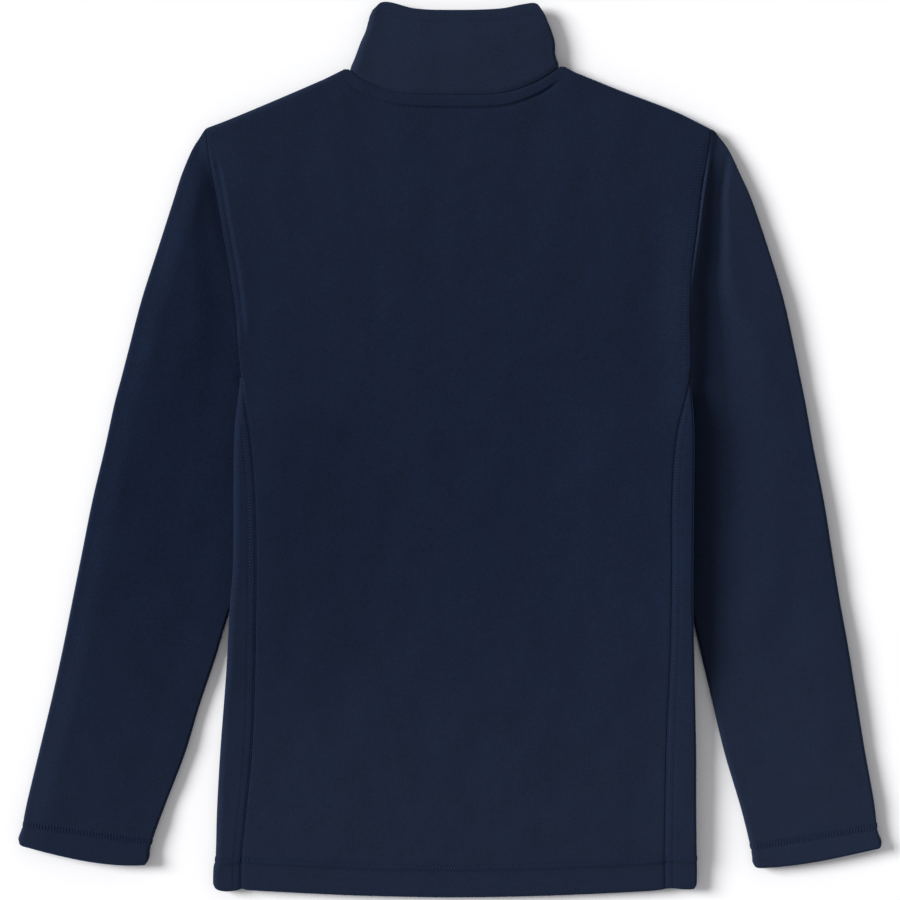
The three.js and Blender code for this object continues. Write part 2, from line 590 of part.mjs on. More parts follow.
function buildSleeve(side, table) {
  const sign = side === 'left' ? -1 : 1;
  const rows = [
    ...evenShares(SLEEVE_LINES[0]).slice(0, -1).map((share) => share * ARMPIT_ROW),
    ...evenShares(SLEEVE_LINES[1]).map((share) => mix(ARMPIT_ROW, table.length - 1, share)),
  ];
  const grid = rows.map((at) => {
    const section = sleeveSection(table, at);
    const inner = new THREE.Vector2(
      bodyRow(`${side}Edge`, section.innerY) - sign * (section.tuck - HALF_SEAM), section.innerY);
    const outer = new THREE.Vector2(section.outerX, section.outerY);
    const width = outer.distanceTo(inner);
    const closed = at >= ARMPIT_ROW;
    const bow = CUFF_BOW * ease(CUFF_STITCH_ROW, table.length - 1, at);
    const point = (distance, isTop) => {
      const share = distance / width;
      const plan = outer.clone().lerp(inner, share);
      const curve = 1 - (2 * share - 1) ** 2;
      plan.y -= bow * curve;
      const slope = ease(SLEEVE_SLOPE_START, VALLEY.across, share);
      const dip = section.valley * ease(VALLEY.halfWidth, 0, Math.abs(share - VALLEY.across));
      const depth = mix(section.outerDepth, section.innerDepth, slope) - dip;
      const outerRound = foldRound(distance, section.outerDepth);
      const innerRound = closed ? foldRound(width - distance, section.innerDepth) : 1;
      const round = Math.min(outerRound, innerRound);
      const folds = isTop && at < CUFF_STITCH_ROW - 1
        ? Math.max(broadFolds(plan.x, plan.y), LEAST_SLEEVE_DEPTH - depth) * round
        : 0;
      const level = distance === 0 || round === 0 ? 0 : (isTop ? round : -round);
      return new THREE.Vector3(plan.x, plan.y, depth / 2 * (1 + level) + folds);
    };
    const distances = acrossSleeve(width);
    const top = [...distances].reverse().map((distance) => point(distance, true));
    const foot = distances.slice(1).map((distance) => point(distance, false));
    return [...top, ...foot];
  });
  const closedFrom = rows.indexOf(ARMPIT_ROW);
  if (side === 'right') grid.forEach((line) => line.reverse());
  const turnedShare = (row) => ease(CUFF_TURN_ROWS.start, CUFF_TURN_ROWS.end, rows[row]);
  const thickness = (point, row) => mix(FLEECE, TURNED_HEM, turnedShare(row));
  addPiece(`sleeve_${side}`, clothWall(grid, thickness, { closedFrom }), clothMaterial(NAVY));
}

function buildCollar() {
  const columnsFront = squares(COLLAR_COLUMNS.front).reverse();
  const row = (up) => {
    const left = readTable(COLLAR_ROWS, 'up', 'left', up);
    const right = readTable(COLLAR_ROWS, 'up', 'right', up);
    return { middle: (left + right) / 2, half: (right - left) / 2 };
  };
  const grid = evenShares(COLLAR_LINES).map((up) => {
    const { middle, half } = row(up);
    const base = row(0);
    const place = (across, isTop) => {
      const x = middle + half * across;
      const seam = mix(COLLAR_SEAM, COLLAR_END_SEAM, across ** 4);
      const backFoot = backNeckY(base.middle + base.half * across) + seam;
      const backTop = readTable(COLLAR_TOP, 'across', 'y', across);
      const level = Math.sqrt(Math.abs(1 - across * across));
      const foot = isTop ? backFoot : frontNeckY(base.middle + base.half * across) + seam;
      const top = isTop ? backTop : backTop - COLLAR_TOP_DIP_FRONT * level ** 2;
      const round = foldRound((1 - Math.abs(across)) * half, COLLAR_DEPTH);
      const z = COLLAR_DEPTH / 2 * (1 + (isTop ? round : -round));
      return new THREE.Vector3(x, mix(foot, top, up), z);
    };
    const zipAcross = (sign) => (CENTRE_X + sign * ZIP_GAP / 2 - middle) / half;
    const frontLeft = columnsFront.map((share) => place(mix(-1, zipAcross(-1), share), false));
    const backAcross = evenShares(COLLAR_COLUMNS.back).map((share) => -Math.cos(Math.PI * share));
    const back = backAcross.map((across) => place(across, true));
    const frontRight = columnsFront.map((share) => place(mix(1, zipAcross(1), share), false));
    return [...frontLeft, ...back.slice(1, -1), ...frontRight.reverse()];
  });
  const thickness = ({ x, z }) => (z > COLLAR_DEPTH / 2
    ? COLLAR_WALL : mix(COLLAR_WALL, TURNED_ZIP_EDGE, zipEdgeShare(x)));
  addPiece('collar', clothWall(grid, thickness), clothMaterial(NAVY));
}

// The zip's hard pieces

function block(lowX, highX, lowY, highY, lowZ, highZ) {
  const geometry = new THREE.BoxGeometry(highX - lowX, highY - lowY, highZ - lowZ);
  geometry.translate((lowX + highX) / 2, (lowY + highY) / 2, (lowZ + highZ) / 2);
  return geometry;
}

function toSolid(geometry) {
  geometry.deleteAttribute('normal');
  geometry.deleteAttribute('uv');
  const merged = mergeVertices(geometry);
  return new wasm.Manifold(new wasm.Mesh({
    numProp: 3,
    vertProperties: merged.getAttribute('position').array,
    triVerts: new Uint32Array(merged.index.array),
  }));
}

function toGeometry(solid) {
  const mesh = solid.getMesh();
  const geometry = new THREE.BufferGeometry();
  geometry.setAttribute('position', new THREE.Float32BufferAttribute(mesh.vertProperties, 3));
  geometry.setIndex(Array.from(mesh.triVerts));
  return geometry;
}

// A plate with rounded corners, flat in X and Y
function plate(halfWidth, lowY, highY, radius, lowZ, highZ, slot) {
  const shape = new THREE.Shape();
  const corners = [
    [CENTRE_X + halfWidth, lowY, 0], [CENTRE_X + halfWidth, highY, 90],
    [CENTRE_X - halfWidth, highY, 180], [CENTRE_X - halfWidth, lowY, 270],
  ];
  corners.forEach(([x, y, turn]) => {
    const start = THREE.MathUtils.degToRad(turn - 90);
    const centreX = x + (x > CENTRE_X ? -radius : radius);
    const centreY = y + (y > lowY ? -radius : radius);
    shape.absarc(centreX, centreY, radius, start, start + Math.PI / 2);
  });
  if (slot) {
    const hole = new THREE.Path();
    hole.moveTo(CENTRE_X - slot.halfWidth, slot.low);
    hole.lineTo(CENTRE_X - slot.halfWidth, slot.high);
    hole.lineTo(CENTRE_X + slot.halfWidth, slot.high);
    hole.lineTo(CENTRE_X + slot.halfWidth, slot.low);
    shape.holes.push(hole);
  }
  const geometry = new THREE.ExtrudeGeometry(shape, {
    depth: highZ - lowZ, bevelEnabled: false, curveSegments: ARC_SEGMENTS,
  });
  geometry.translate(0, 0, lowZ);
  return geometry;
}

function buildTapes() {
  for (const [side, sign] of [['left', -1], ['right', 1]]) {
    const edges = [CENTRE_X + sign * TAPE.inner, CENTRE_X + sign * TAPE.outer].sort((a, b) => a - b);
    const geometry = block(...edges, TAPE.foot, TAPE.top, TAPE.low, TAPE.high);
    addPiece(`zip_tape_${side}`, geometry, clothMaterial(NAVY_TAPE));
  }
}

function buildSlider() {
  const { y, halfLength, halfWidth, upperLow, upperHigh, lowerLow, lowerHigh, bridge } = SLIDER;
  const low = y - halfLength;
  const high = y + halfLength;
  const upper = plate(halfWidth, low, high, SLIDER_CORNER, upperLow, upperHigh);
  const lower = plate(halfWidth, low, high, SLIDER_CORNER, lowerLow, lowerHigh);
  const postX = [CENTRE_X - bridge, CENTRE_X + bridge];
  const postRear = high - SLIDER_POST.fromFront;
  const post = block(...postX, postRear, postRear + SLIDER_POST.length, lowerLow, upperHigh);
  const front = y + CROWN.halfLength;
  const rear = y - CROWN.halfLength;
  const crownX = [CENTRE_X - CROWN.halfWidth, CENTRE_X + CROWN.halfWidth];
  const span = block(...crownX, rear, front, CROWN.outer, CROWN.inner);
  const frontLeg = block(...crownX, front - CROWN.legLength, front, CROWN.outer, lowerHigh);
  const rearLeg = block(...crownX, rear, rear + CROWN.legLength, CROWN.outer, lowerHigh);
  const pieces = [upper, lower, post, span, frontLeg, rearLeg].map(toSolid);
  const solid = pieces.reduce((whole, piece) => whole.add(piece));
  addPiece('zip_slider', toGeometry(solid), metalMaterial());
}

function buildPull() {
  const { axisZ, thickness, halfWidth, length, slotHalfWidth, slotLength, barHalf } = PULL;
  const slot = {
    halfWidth: slotHalfWidth, low: SLIDER.y - barHalf - slotLength, high: SLIDER.y - barHalf,
  };
  const geometry = plate(halfWidth, SLIDER.y - length, SLIDER.y + barHalf, barHalf,
    axisZ - thickness / 2, axisZ + thickness / 2, slot);
  addPiece('zip_pull', geometry, metalMaterial());
}

function buildZipBox() {
  const { halfWidth, low, high, foot, top, corner } = ZIP_BOX;
  addPiece('zip_box', plate(halfWidth, foot, top, corner, low, high), plasticMaterial());
}

buildBack();
buildFront('left');
buildFront('right');
buildSide('left');
buildSide('right');
buildSleeve('left', LEFT_SLEEVE);
buildSleeve('right', RIGHT_SLEEVE);
buildCollar();
buildTapes();
buildSlider();
buildPull();
buildZipBox();

export default jacket;
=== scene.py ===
import math

import bpy
import numpy as np
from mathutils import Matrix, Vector


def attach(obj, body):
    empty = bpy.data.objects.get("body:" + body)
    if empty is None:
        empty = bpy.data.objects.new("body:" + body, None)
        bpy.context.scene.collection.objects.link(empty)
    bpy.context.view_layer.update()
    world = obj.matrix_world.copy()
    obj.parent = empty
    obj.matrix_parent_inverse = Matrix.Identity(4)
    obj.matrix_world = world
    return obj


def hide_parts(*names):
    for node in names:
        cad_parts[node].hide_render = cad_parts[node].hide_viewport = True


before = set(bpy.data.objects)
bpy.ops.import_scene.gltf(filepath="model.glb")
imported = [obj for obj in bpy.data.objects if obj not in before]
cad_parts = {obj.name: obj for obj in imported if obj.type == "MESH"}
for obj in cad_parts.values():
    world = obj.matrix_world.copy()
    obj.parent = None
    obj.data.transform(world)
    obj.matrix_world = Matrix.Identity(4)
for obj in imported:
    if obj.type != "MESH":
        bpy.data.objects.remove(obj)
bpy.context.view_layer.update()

# A fleece zip jacket, laid flat on its front with its back up.
# The forms are worked out in millimetres, in the frame of the solids, and made in metres.
MM = 0.001
BODY = "jacket"
SIGN = {"left": -1, "right": 1}

# Cloth thicknesses and the depths of the layers that lie on each other
FLEECE = 2.6
TURNED_HEM = 4.6
TURNED_ZIP_EDGE = 5.2
COLLAR_WALL = 3.6
BODY_DEPTH = 11.5
HEM_DEPTH = 9.9
COLLAR_DEPTH = 11.8
HALF_SEAM = 0.03
COLLAR_SEAM = -0.25
COLLAR_END_SEAM = 0.8
SIDE_SEAM = 0.05

# The garment's main sizes
CENTRE_X = 5
ARMPIT_Y = 57
HEM_CENTRE_Y = -357.7
HEM_END_RISE = 6.8
HEM_HALF_WIDTH = 192
HEM_TURN_UP = 24
HEM_ROUND = 1.8
HEM_CORNER = 3.4
HEM_HELD = 0.6
ZIP_GAP = 11
ZIP_EDGE_TURN = 14
FRONT_SEAM_RATIO = 1.2
FRONT_NECK_Y = 262
FRONT_NECK_CURVE = 2.5
SHOULDER_FADE = 20
PRESSED_FOLD = 0.42
SHOULDER_ROLL = 14
ARMPIT_FADE = 8
STITCH_FADE = 5
ZIP_EDGE_FADE = 4
NECK_BAND = {"width": 10, "raise": 1.2, "fade": 1.5, "end_fade": 16}
OVER_ZIP = {"flat": 16, "fade": 30}

# Where the hem's edge is drawn up by a side seam or hangs lower: at, half width and rise
HEM_DRAWN_UP = [(-180, 10, -2.2), (-166, 2.6, 1), (176, 7, 1.1), (192, 7, -0.8), (0, 90, -0.7)]

# The body is raised where the sleeves' inner folds lie under its sides
SIDE_LIFT = 6.7
LIFT_FLAT = 25
LIFT_RAMP_END = {"underside": 50, "top": 125}
LIFT_Y = {"top": ARMPIT_Y, "full_top": 20, "full_foot": -136, "foot": -225}

# The body's edges and side seams from the shoulder down to the hem
BODY_COLUMNS = ("y", "left_edge", "left_seam", "right_seam", "right_edge")
BODY_ROWS = [
    (258, -194.5, -194.5, 209.5, 209.5),
    (234, -192.4, -192.4, 206, 206),
    (205, -186.8, -186.8, 201.4, 201.4),
    (176, -182, -182, 197.8, 197.8),
    (141, -175.6, -175.6, 193.4, 193.4),
    (110, -171.4, -171.4, 192, 192),
    (80, -168.6, -168.6, 192.5, 192.5),
    (57, -167.8, -166.3, 191.5, 193.2),
    (14, -171.6, -158.8, 181.2, 195.4),
    (-32, -172.4, -154.8, 177.2, 195.2),
    (-92, -172.8, -153.6, 176.9, 194.6),
    (-130, -175.8, -154, 176.5, 194.7),
    (-173, -178.2, -154.8, 175.6, 195.8),
    (-236, -183.2, -157.2, 173.2, 197.4),
    (-288, -186.2, -162, 172.2, 197.6),
    (-326, -187.4, -165.8, 171.8, 198),
    (-336, -189.2, -166.2, 172, 198.3),
    (-359, -189.4, -166.5, 172.4, 198),
]

# The shoulder lines and the collar seam, as points along each
LEFT_SHOULDER = [(-194.5, 257.4), (-178, 263.6), (-139.6, 279.6), (-102, 295.8), (-82, 304.8)]
RIGHT_SHOULDER = [
    (90, 307), (98.2, 302.6), (108.4, 298.8), (135.6, 287.8), (178.8, 271.4), (209.5, 256.4),
]
BACK_NECK = [
    (-82, 304.8), (-67.6, 294.4), (-41.2, 285.4), (1.2, 283.6),
    (42.8, 285), (70.8, 294.4), (90, 307),
]
NECK_LEFT = BACK_NECK[0][0]
NECK_RIGHT = BACK_NECK[-1][0]

# The collar's two side folds from its seam up, and its top edge from left to right
COLLAR_COLUMNS = ("up", "left_fold", "right_fold")
COLLAR_ROWS = [
    (0, -80, 88.4), (0.2, -75.8, 85), (0.45, -71.4, 84.4),
    (0.65, -67.2, 82), (0.85, -64.6, 78.4), (1, -61.8, 75.4),
]
COLLAR_TOP = [
    (-1, 353), (-0.9, 357.6), (-0.78, 357.6), (-0.5, 352.8), (0, 351.6),
    (0.5, 353), (0.78, 356.4), (0.92, 356.8), (1, 351),
]
COLLAR_TOP_DIP_FRONT = 24

# The sleeves' sections from the shoulder to the cuff, each from its outer fold to its inner one
SLEEVE_COLUMNS = ("outer_x", "outer_y", "inner_y", "tuck", "outer_depth", "inner_depth")
LEFT_SLEEVE = [
    (-194.8, 257.1, 257.2, 0, 8, 8.4),
    (-199.2, 251, 252, 0, 8, 8.4),
    (-206.4, 239.6, 236, 0, 8.8, 9),
    (-214.8, 219.6, 212, 0, 9.1, 9),
    (-221.2, 199.6, 188, 0, 9.1, 9),
    (-234, 159.6, 141, 0, 9.1, 9),
    (-246.8, 119.6, 96, 0, 9, 9),
    (-257.2, 79.6, 57, 1.6, 8.8, 6.6),
    (-262.8, 58, 38, 2.2, 8.6, 6.4),
    (-268.6, 36, 18, 3, 8.6, 6.4),
    (-276.4, 0, -12, 6, 8.6, 6.4),
    (-286, -40.4, -48, 14, 8.6, 6.4),
    (-294, -80.4, -86, 13, 8.8, 6.4),
    (-302, -120.4, -128, 0, 8.8, 6.4),
    (-310, -160.4, -166, -9.4, 8.8, 6.6),
    (-318.8, -200.4, -203, -19, 8.8, 7),
    (-328.4, -240.4, -243, -28, 8.6, 7.4),
    (-338, -280.4, -286, -42, 8.6, 7.8),
    (-342.4, -302, -317, -52, 9.1, 9),
    (-345.4, -316.6, -332.2, -52, 10.4, 10.4),
]
RIGHT_SLEEVE = [
    (209.8, 256.2, 256.3, 0, 8, 8.4),
    (214.8, 251.6, 252, 0, 8, 8.4),
    (223.8, 239.6, 236, 0, 8.8, 9),
    (233.4, 219.6, 212, 0, 9.1, 9),
    (242.3, 199.6, 188, 0, 9.1, 9),
    (255.9, 159.6, 141, 0, 9.1, 9),
    (267.9, 119.6, 96, 0, 9.1, 9),
    (276.7, 79.6, 57, 2.6, 9, 6.6),
    (281.1, 58, 38, 3.2, 8.8, 6.4),
    (285.5, 36, 18, 4, 8.8, 6.4),
    (291.9, 0, -12, 6, 8.8, 6.4),
    (299.9, -40.4, -48, 14, 9, 6.4),
    (306.3, -80.4, -86, 13, 9, 6.4),
    (312.7, -120.4, -128, 1.7, 8.8, 6.4),
    (319.9, -160.4, -166, -6.3, 8.8, 6.6),
    (326.3, -200.4, -203, -14.1, 8.8, 7),
    (332.7, -240.4, -243, -22.8, 8.6, 7.4),
    (339.9, -280.4, -288, -36, 8.6, 7.8),
    (342.8, -303.6, -320.4, -43.4, 9.1, 9),
    (346.2, -318.6, -334.8, -44.2, 10.4, 10.4),
]
ARMPIT_ROW = 7
CUFF_STITCH_ROW = 18
CUFF_ROW = 19
CUFF_BOW = {"left": 4.6, "right": 3}
CUFF_SKEW = 1.3
CUFF_CORNER = 3
CUFF_TURN = {"start": 0.5, "end": 0.2}
CUFF_RUN_IN = 0.7
SLEEVE_SLOPE = (0.3, 0.8)

# How much higher the stuffed outer half of each sleeve stands at the shoulder and below it, how
# far in that reaches, and how far the cloth falls at the fold itself
SLEEVE_PUFF = {
    "left": {"high": 5.2, "low": 3, "reach": 22, "edge_fall": 1.4},
    "right": {"high": 1.6, "low": 1.4, "reach": 2, "edge_fall": 0},
}
PUFF_FULL_ROW = 3
PUFF_LOW_ROWS = (4, 9)
PUFF_IN_CUFF = 0.5
PUFF_START = -0.1

# How the sleeve falls from the body's edge into a valley: the distances from the edge between
# which it rises again, and how high it lies beside the edge and in its depth
VALLEY_COLUMNS = ("y", "rise_from", "rise_to", "near_z", "z")
VALLEY = {
    "left": [
        (260, 0, 20, 8, 8), (200, 0, 20, 7.8, 7.8), (160, 0, 27, 7.2, 7.2),
        (120, 2, 34, 6.4, 6.4), (60, 2, 34, 6.4, 6.4), (-40, 4, 30, 7, 7), (-200, 4, 30, 8, 8),
    ],
    "right": [
        (260, 16, 22, 10, 6.4), (200, 16.6, 23, 10, 6), (160, 20, 29, 9.6, 5.4),
        (120, 22, 36, 9, 4.8), (80, 26, 54, 8.6, 4.6), (24, 28, 72, 8.4, 4.6),
        (-40, 30, 90, 8.4, 4.8), (-120, 24, 90, 8.4, 5), (-200, 8, 60, 7, 6),
    ],
}
VALLEY_END = {"full": 8, "none": 4}
VALLEY_FOLDS = 0.5

# How the armhole seams lie: the sleeve is held down at the seam, the back steps up from it, and
# on the right a narrow ridge of the seam's own layers stands beside it. The fades are heights
SEAM_FALL = 5
SEAM_HELD = 1.4
SEAM_RIDGE = {"height": {"left": 0, "right": 2.8}, "at": 2.6, "half_width": 2.1, "fade": (122, 165)}
SEAM_STEP = {
    "left": {"outer": 2.8, "inner": 2.2, "inner_start": 5, "inner_end": 9.4, "foot_fade": (80, 112)},
    "right": {"outer": 0.2, "inner": 0.3, "inner_start": 6, "inner_end": 8, "foot_fade": (58, 79)},
}
SEAM_STEP_LIP = 2.2
TIP_FADE = (244, 205)

# How far the body's right edge stands up above its left one, from the shoulder to the hem
RIGHT_EDGE_RISE = [
    (260, 0), (225, 0.4), (190, 1.6), (150, 5), (110, 7.4), (57, 6.6), (20, 5.6),
    (-60, 5.4), (-150, 5.2), (-230, 4.8), (-320, 2.6), (-360, 0.4),
]
RIGHT_EDGE_REACH = 20

# Soft folds in the upper layers: where each lies, its half length and half width, the turn of
# its length from +Y, and how far it rises or sinks
SOFT_FOLDS = [
    (-198, 240, 22, 17, -12, -2.2),
    (-96, -12, 90, 34, 8, -0.5),
    (74, -50, 60, 34, -50, -0.9),
    (112, -190, 75, 20, 20, -1),
    (-126, -95, 80, 14, 0, -0.7),
    (-90, -260, 60, 50, 60, 0.5),
    (130, 60, 90, 30, 0, 0.5),
    (276, -104, 90, 12, 6, -1.2),
    (-212, 84, 40, 26, 10, 0.6),
    (-240, -60, 90, 26, 14, -0.9),
    (-262, -230, 80, 18, 24, 0.7),
    (-154, 118, 70, 9, 2, -0.6),
    (-118, 92, 80, 17, 4, -0.5),
    (62, 248, 26, 16, 60, -0.5),
    (168, 150, 60, 10, -4, -0.5),
    (20, -300, 22, 60, 6, 0.4),
    (126, -232, 40, 9, 24, -0.6),
    (-20, 200, 60, 40, 70, 0.4),
    (250, 60, 60, 12, 12, 0.6),
    (300, -220, 50, 14, 8, 0.6),
    (-300, -120, 60, 12, 14, 0.5),
]


# Small shared functions

def mix(a, b, share):
    return a + (b - a) * share


def ease(start, end, value):
    """0 at start, 1 at end, level at both; start may be the larger."""
    share = np.clip((value - start) / (end - start), 0, 1)
    return share * share * (3 - 2 * share)


def bump(distance, at, half_width):
    return np.exp(-(((distance - at) / half_width) ** 2))


def through(keys, values, at):
    """A smooth curve through the values at the keys."""
    keys = np.asarray(keys, float)
    values = np.asarray(values, float)
    if keys[0] > keys[-1]:
        keys, values = keys[::-1], values[::-1]
    number = np.arange(len(keys))
    before = np.maximum(number - 1, 0)
    after = np.minimum(number + 1, len(keys) - 1)
    slopes = (values[after] - values[before]) / (keys[after] - keys[before])
    at = np.clip(at, keys[0], keys[-1])
    low = np.clip(np.searchsorted(keys, at, side="right") - 1, 0, len(keys) - 2)
    step = keys[low + 1] - keys[low]
    t = (at - keys[low]) / step
    start = (2 * t**3 - 3 * t**2 + 1) * values[low] + (t**3 - 2 * t**2 + t) * step * slopes[low]
    end = (3 * t**2 - 2 * t**3) * values[low + 1] + (t**3 - t**2) * step * slopes[low + 1]
    return start + end


def column_of(rows, names, name):
    return [row[names.index(name)] for row in rows]


def from_table(rows, names, name, at):
    """A smooth curve through one column of a table, against its first column."""
    return through(column_of(rows, names, names[0]), column_of(rows, names, name), at)


def body_row(name, y):
    return from_table(BODY_ROWS, BODY_COLUMNS, name, y)


def along_points(points, at):
    return from_table(points, ("at", "value"), "value", at)


def from_side_edges(x, y):
    """How far a point of the body is from its left edge and from its right one."""
    return x - body_row("left_edge", y), body_row("right_edge", y) - x


def fold_round(distance, depth):
    """How round a folded edge is, 0 on the fold and 1 where the layers lie flat."""
    share = np.clip(distance / (depth / 2), 0, 1)
    return np.sqrt(1 - (1 - share) ** 2)


def corner_rise(distance, radius):
    """How far a rounded corner stands back from its edge's line, by the distance from its end."""
    return radius * (1 - fold_round(distance, 2 * radius))


def hem_corner(x):
    return corner_rise(np.minimum(*from_side_edges(x, HEM_CENTRE_Y)), HEM_CORNER)


def hem_y(x):
    across = np.clip(np.abs((x - CENTRE_X) / HEM_HALF_WIDTH), 0, 1)
    drawn_up = 0
    for at, half_width, rise in HEM_DRAWN_UP:
        drawn_up = drawn_up + rise * bump(x, at, half_width)
    return HEM_CENTRE_Y + HEM_END_RISE * across**2 + drawn_up + hem_corner(x)


def back_neck_y(x):
    return along_points(BACK_NECK, x)


def front_neck_y(x):
    middle = (NECK_LEFT + NECK_RIGHT) / 2
    across = np.clip(np.abs(x - middle) / (NECK_RIGHT - middle), 0, 1)
    end_y = mix(BACK_NECK[0][1], BACK_NECK[-1][1], ease(NECK_LEFT, NECK_RIGHT, x))
    return mix(FRONT_NECK_Y, end_y, across**FRONT_NECK_CURVE)


def panel_top_y(x, neck_y):
    """The top edge of a body panel: the collar seam, and a shoulder line on each side."""
    shoulders = np.where(
        x < NECK_LEFT, along_points(LEFT_SHOULDER, x), along_points(RIGHT_SHOULDER, x)
    )
    return np.where((x < NECK_LEFT) | (x > NECK_RIGHT), shoulders, neck_y(x))


def soft_folds(x, y):
    rise = 0
    for fold_x, fold_y, long, wide, turn, height in SOFT_FOLDS:
        cos, sin = math.cos(math.radians(turn)), math.sin(math.radians(turn))
        along = ((y - fold_y) * cos + (x - fold_x) * sin) / long
        across = ((x - fold_x) * cos - (y - fold_y) * sin) / wide
        rise = rise + height * np.exp(-(along**2 + across**2))
    return rise


RIPPLE = {
    "seed": 7, "waves": 26, "shortest": 16, "longest": 90, "height": 0.09, "bend": 14, "bend_y": 70,
}


def ripple(x, y):
    """The slight unevenness of cloth that lies relaxed."""
    draw = np.random.default_rng(RIPPLE["seed"])
    total = 0
    for _ in range(RIPPLE["waves"]):
        length = draw.uniform(RIPPLE["shortest"], RIPPLE["longest"])
        turn, phase = draw.uniform(0, 2 * math.pi, 2)
        bend = RIPPLE["bend"] * np.sin(y / RIPPLE["bend_y"] + phase)
        wave = np.sin(2 * math.pi * ((x + bend) * math.cos(turn) + y * math.sin(turn)) / length + phase)
        total = total + RIPPLE["height"] * math.sqrt(length / RIPPLE["longest"]) * wave
    return total


# The body's two outer faces, the back on top and the fronts on the table

def hem_share(x, y):
    return ease(HEM_TURN_UP, HEM_TURN_UP - STITCH_FADE, y - hem_y(x))


def side_lift(x, y, ramp_end=LIFT_RAMP_END["underside"]):
    window = ease(LIFT_Y["top"], LIFT_Y["full_top"], y)
    window = window * ease(LIFT_Y["foot"], LIFT_Y["full_foot"], y)
    return SIDE_LIFT * window * ease(ramp_end, LIFT_FLAT, np.minimum(*from_side_edges(x, y)))


def fold_depth(x, y):
    return mix(BODY_DEPTH, HEM_DEPTH, hem_share(x, y))


def body_round(x, y):
    """How round the body's nearest side or shoulder fold makes it."""
    depth = fold_depth(x, y)
    from_left, from_right = from_side_edges(x, y)
    left, right = fold_round(from_left, depth), fold_round(from_right, depth * PRESSED_FOLD)
    side_folded = ease(ARMPIT_Y + ARMPIT_FADE, ARMPIT_Y - ARMPIT_FADE, y)
    side = mix(1, np.minimum(left, right), side_folded)
    past_collar = np.maximum(NECK_LEFT - x, x - NECK_RIGHT)
    shoulder_folded = ease(0, SHOULDER_FADE, past_collar)
    from_top = panel_top_y(x, back_neck_y) - y
    pressed = mix(1, PRESSED_FOLD, ease(NECK_LEFT, NECK_RIGHT, x))
    shoulder = mix(1, fold_round(from_top, depth * pressed), shoulder_folded)
    return np.minimum(side, shoulder)


def right_edge_rise(x, y):
    return along_points(RIGHT_EDGE_RISE, y) * bump(from_side_edges(x, y)[1], 0, RIGHT_EDGE_REACH)


def body_top_z(x, y):
    depth = fold_depth(x, y)
    over_zip = ease(OVER_ZIP["fade"], OVER_ZIP["flat"], np.abs(x - CENTRE_X))
    folds = soft_folds(x, y) * (1 - over_zip) + ripple(x, y)
    folds = (folds * (1 - HEM_HELD * hem_share(x, y)) + right_edge_rise(x, y)) * body_round(x, y)
    level = side_lift(x, y, LIFT_RAMP_END["top"]) + depth / 2 * (1 + body_round(x, y))
    return level + folds


def body_underside_z(x, y):
    return side_lift(x, y) + fold_depth(x, y) / 2 * (1 - body_round(x, y))


def hem_thickness(x, y):
    return mix(FLEECE, TURNED_HEM, hem_share(x, y))


def inside_neck(x, fade):
    """1 between the ends of the collar seam, falling to 0 at each."""
    return ease(NECK_LEFT, NECK_LEFT + fade, x) * ease(NECK_RIGHT, NECK_RIGHT - fade, x)


def neck_band_share(x, y):
    width, fade = NECK_BAND["width"], NECK_BAND["fade"]
    below = ease(width + fade, width - fade, back_neck_y(x) - y)
    return inside_neck(x, NECK_BAND["end_fade"]) * below


def zip_edge_share(x):
    from_edge = np.abs(x - CENTRE_X) - ZIP_GAP / 2
    return ease(ZIP_EDGE_TURN + ZIP_EDGE_FADE, ZIP_EDGE_TURN, from_edge)


# Cloth walls

def unit(vectors):
    length = np.linalg.norm(vectors, axis=-1, keepdims=True)
    return vectors / np.maximum(length, 1e-9)


def grid_normals(grid, closed_from=None):
    """Outward unit normals of a grid of points; its rows from closed_from are closed rings."""
    across = np.gradient(grid, axis=1)
    along = np.gradient(grid, axis=0)
    if closed_from is not None:
        ring = grid[closed_from:, 1] - grid[closed_from:, -2]
        across[closed_from:, 0] = across[closed_from:, -1] = ring
        along[closed_from:, -1] = along[closed_from:, 0]
    return unit(np.cross(across, along))


def moved(grid, normals, by):
    """The grid moved out along its normals."""
    return grid + normals * np.broadcast_to(by, grid.shape[:2])[..., None]


def steps_from(line_of_points):
    """The distance along each row of points from its first point."""
    steps = np.linalg.norm(np.diff(line_of_points, axis=1), axis=2)
    return np.concatenate([np.zeros((len(steps), 1)), np.cumsum(steps, axis=1)], axis=1)


def edge_distances(grid):
    """How far each point of a grid is from its left, right, foot and top edges."""
    left = steps_from(grid)
    foot = steps_from(grid.transpose(1, 0, 2)).T
    return {
        "left": left, "right": left[:, -1:] - left,
        "foot": foot, "top": foot[-1:] - foot,
    }


RIM_ANGLES = (45, 90, 135)


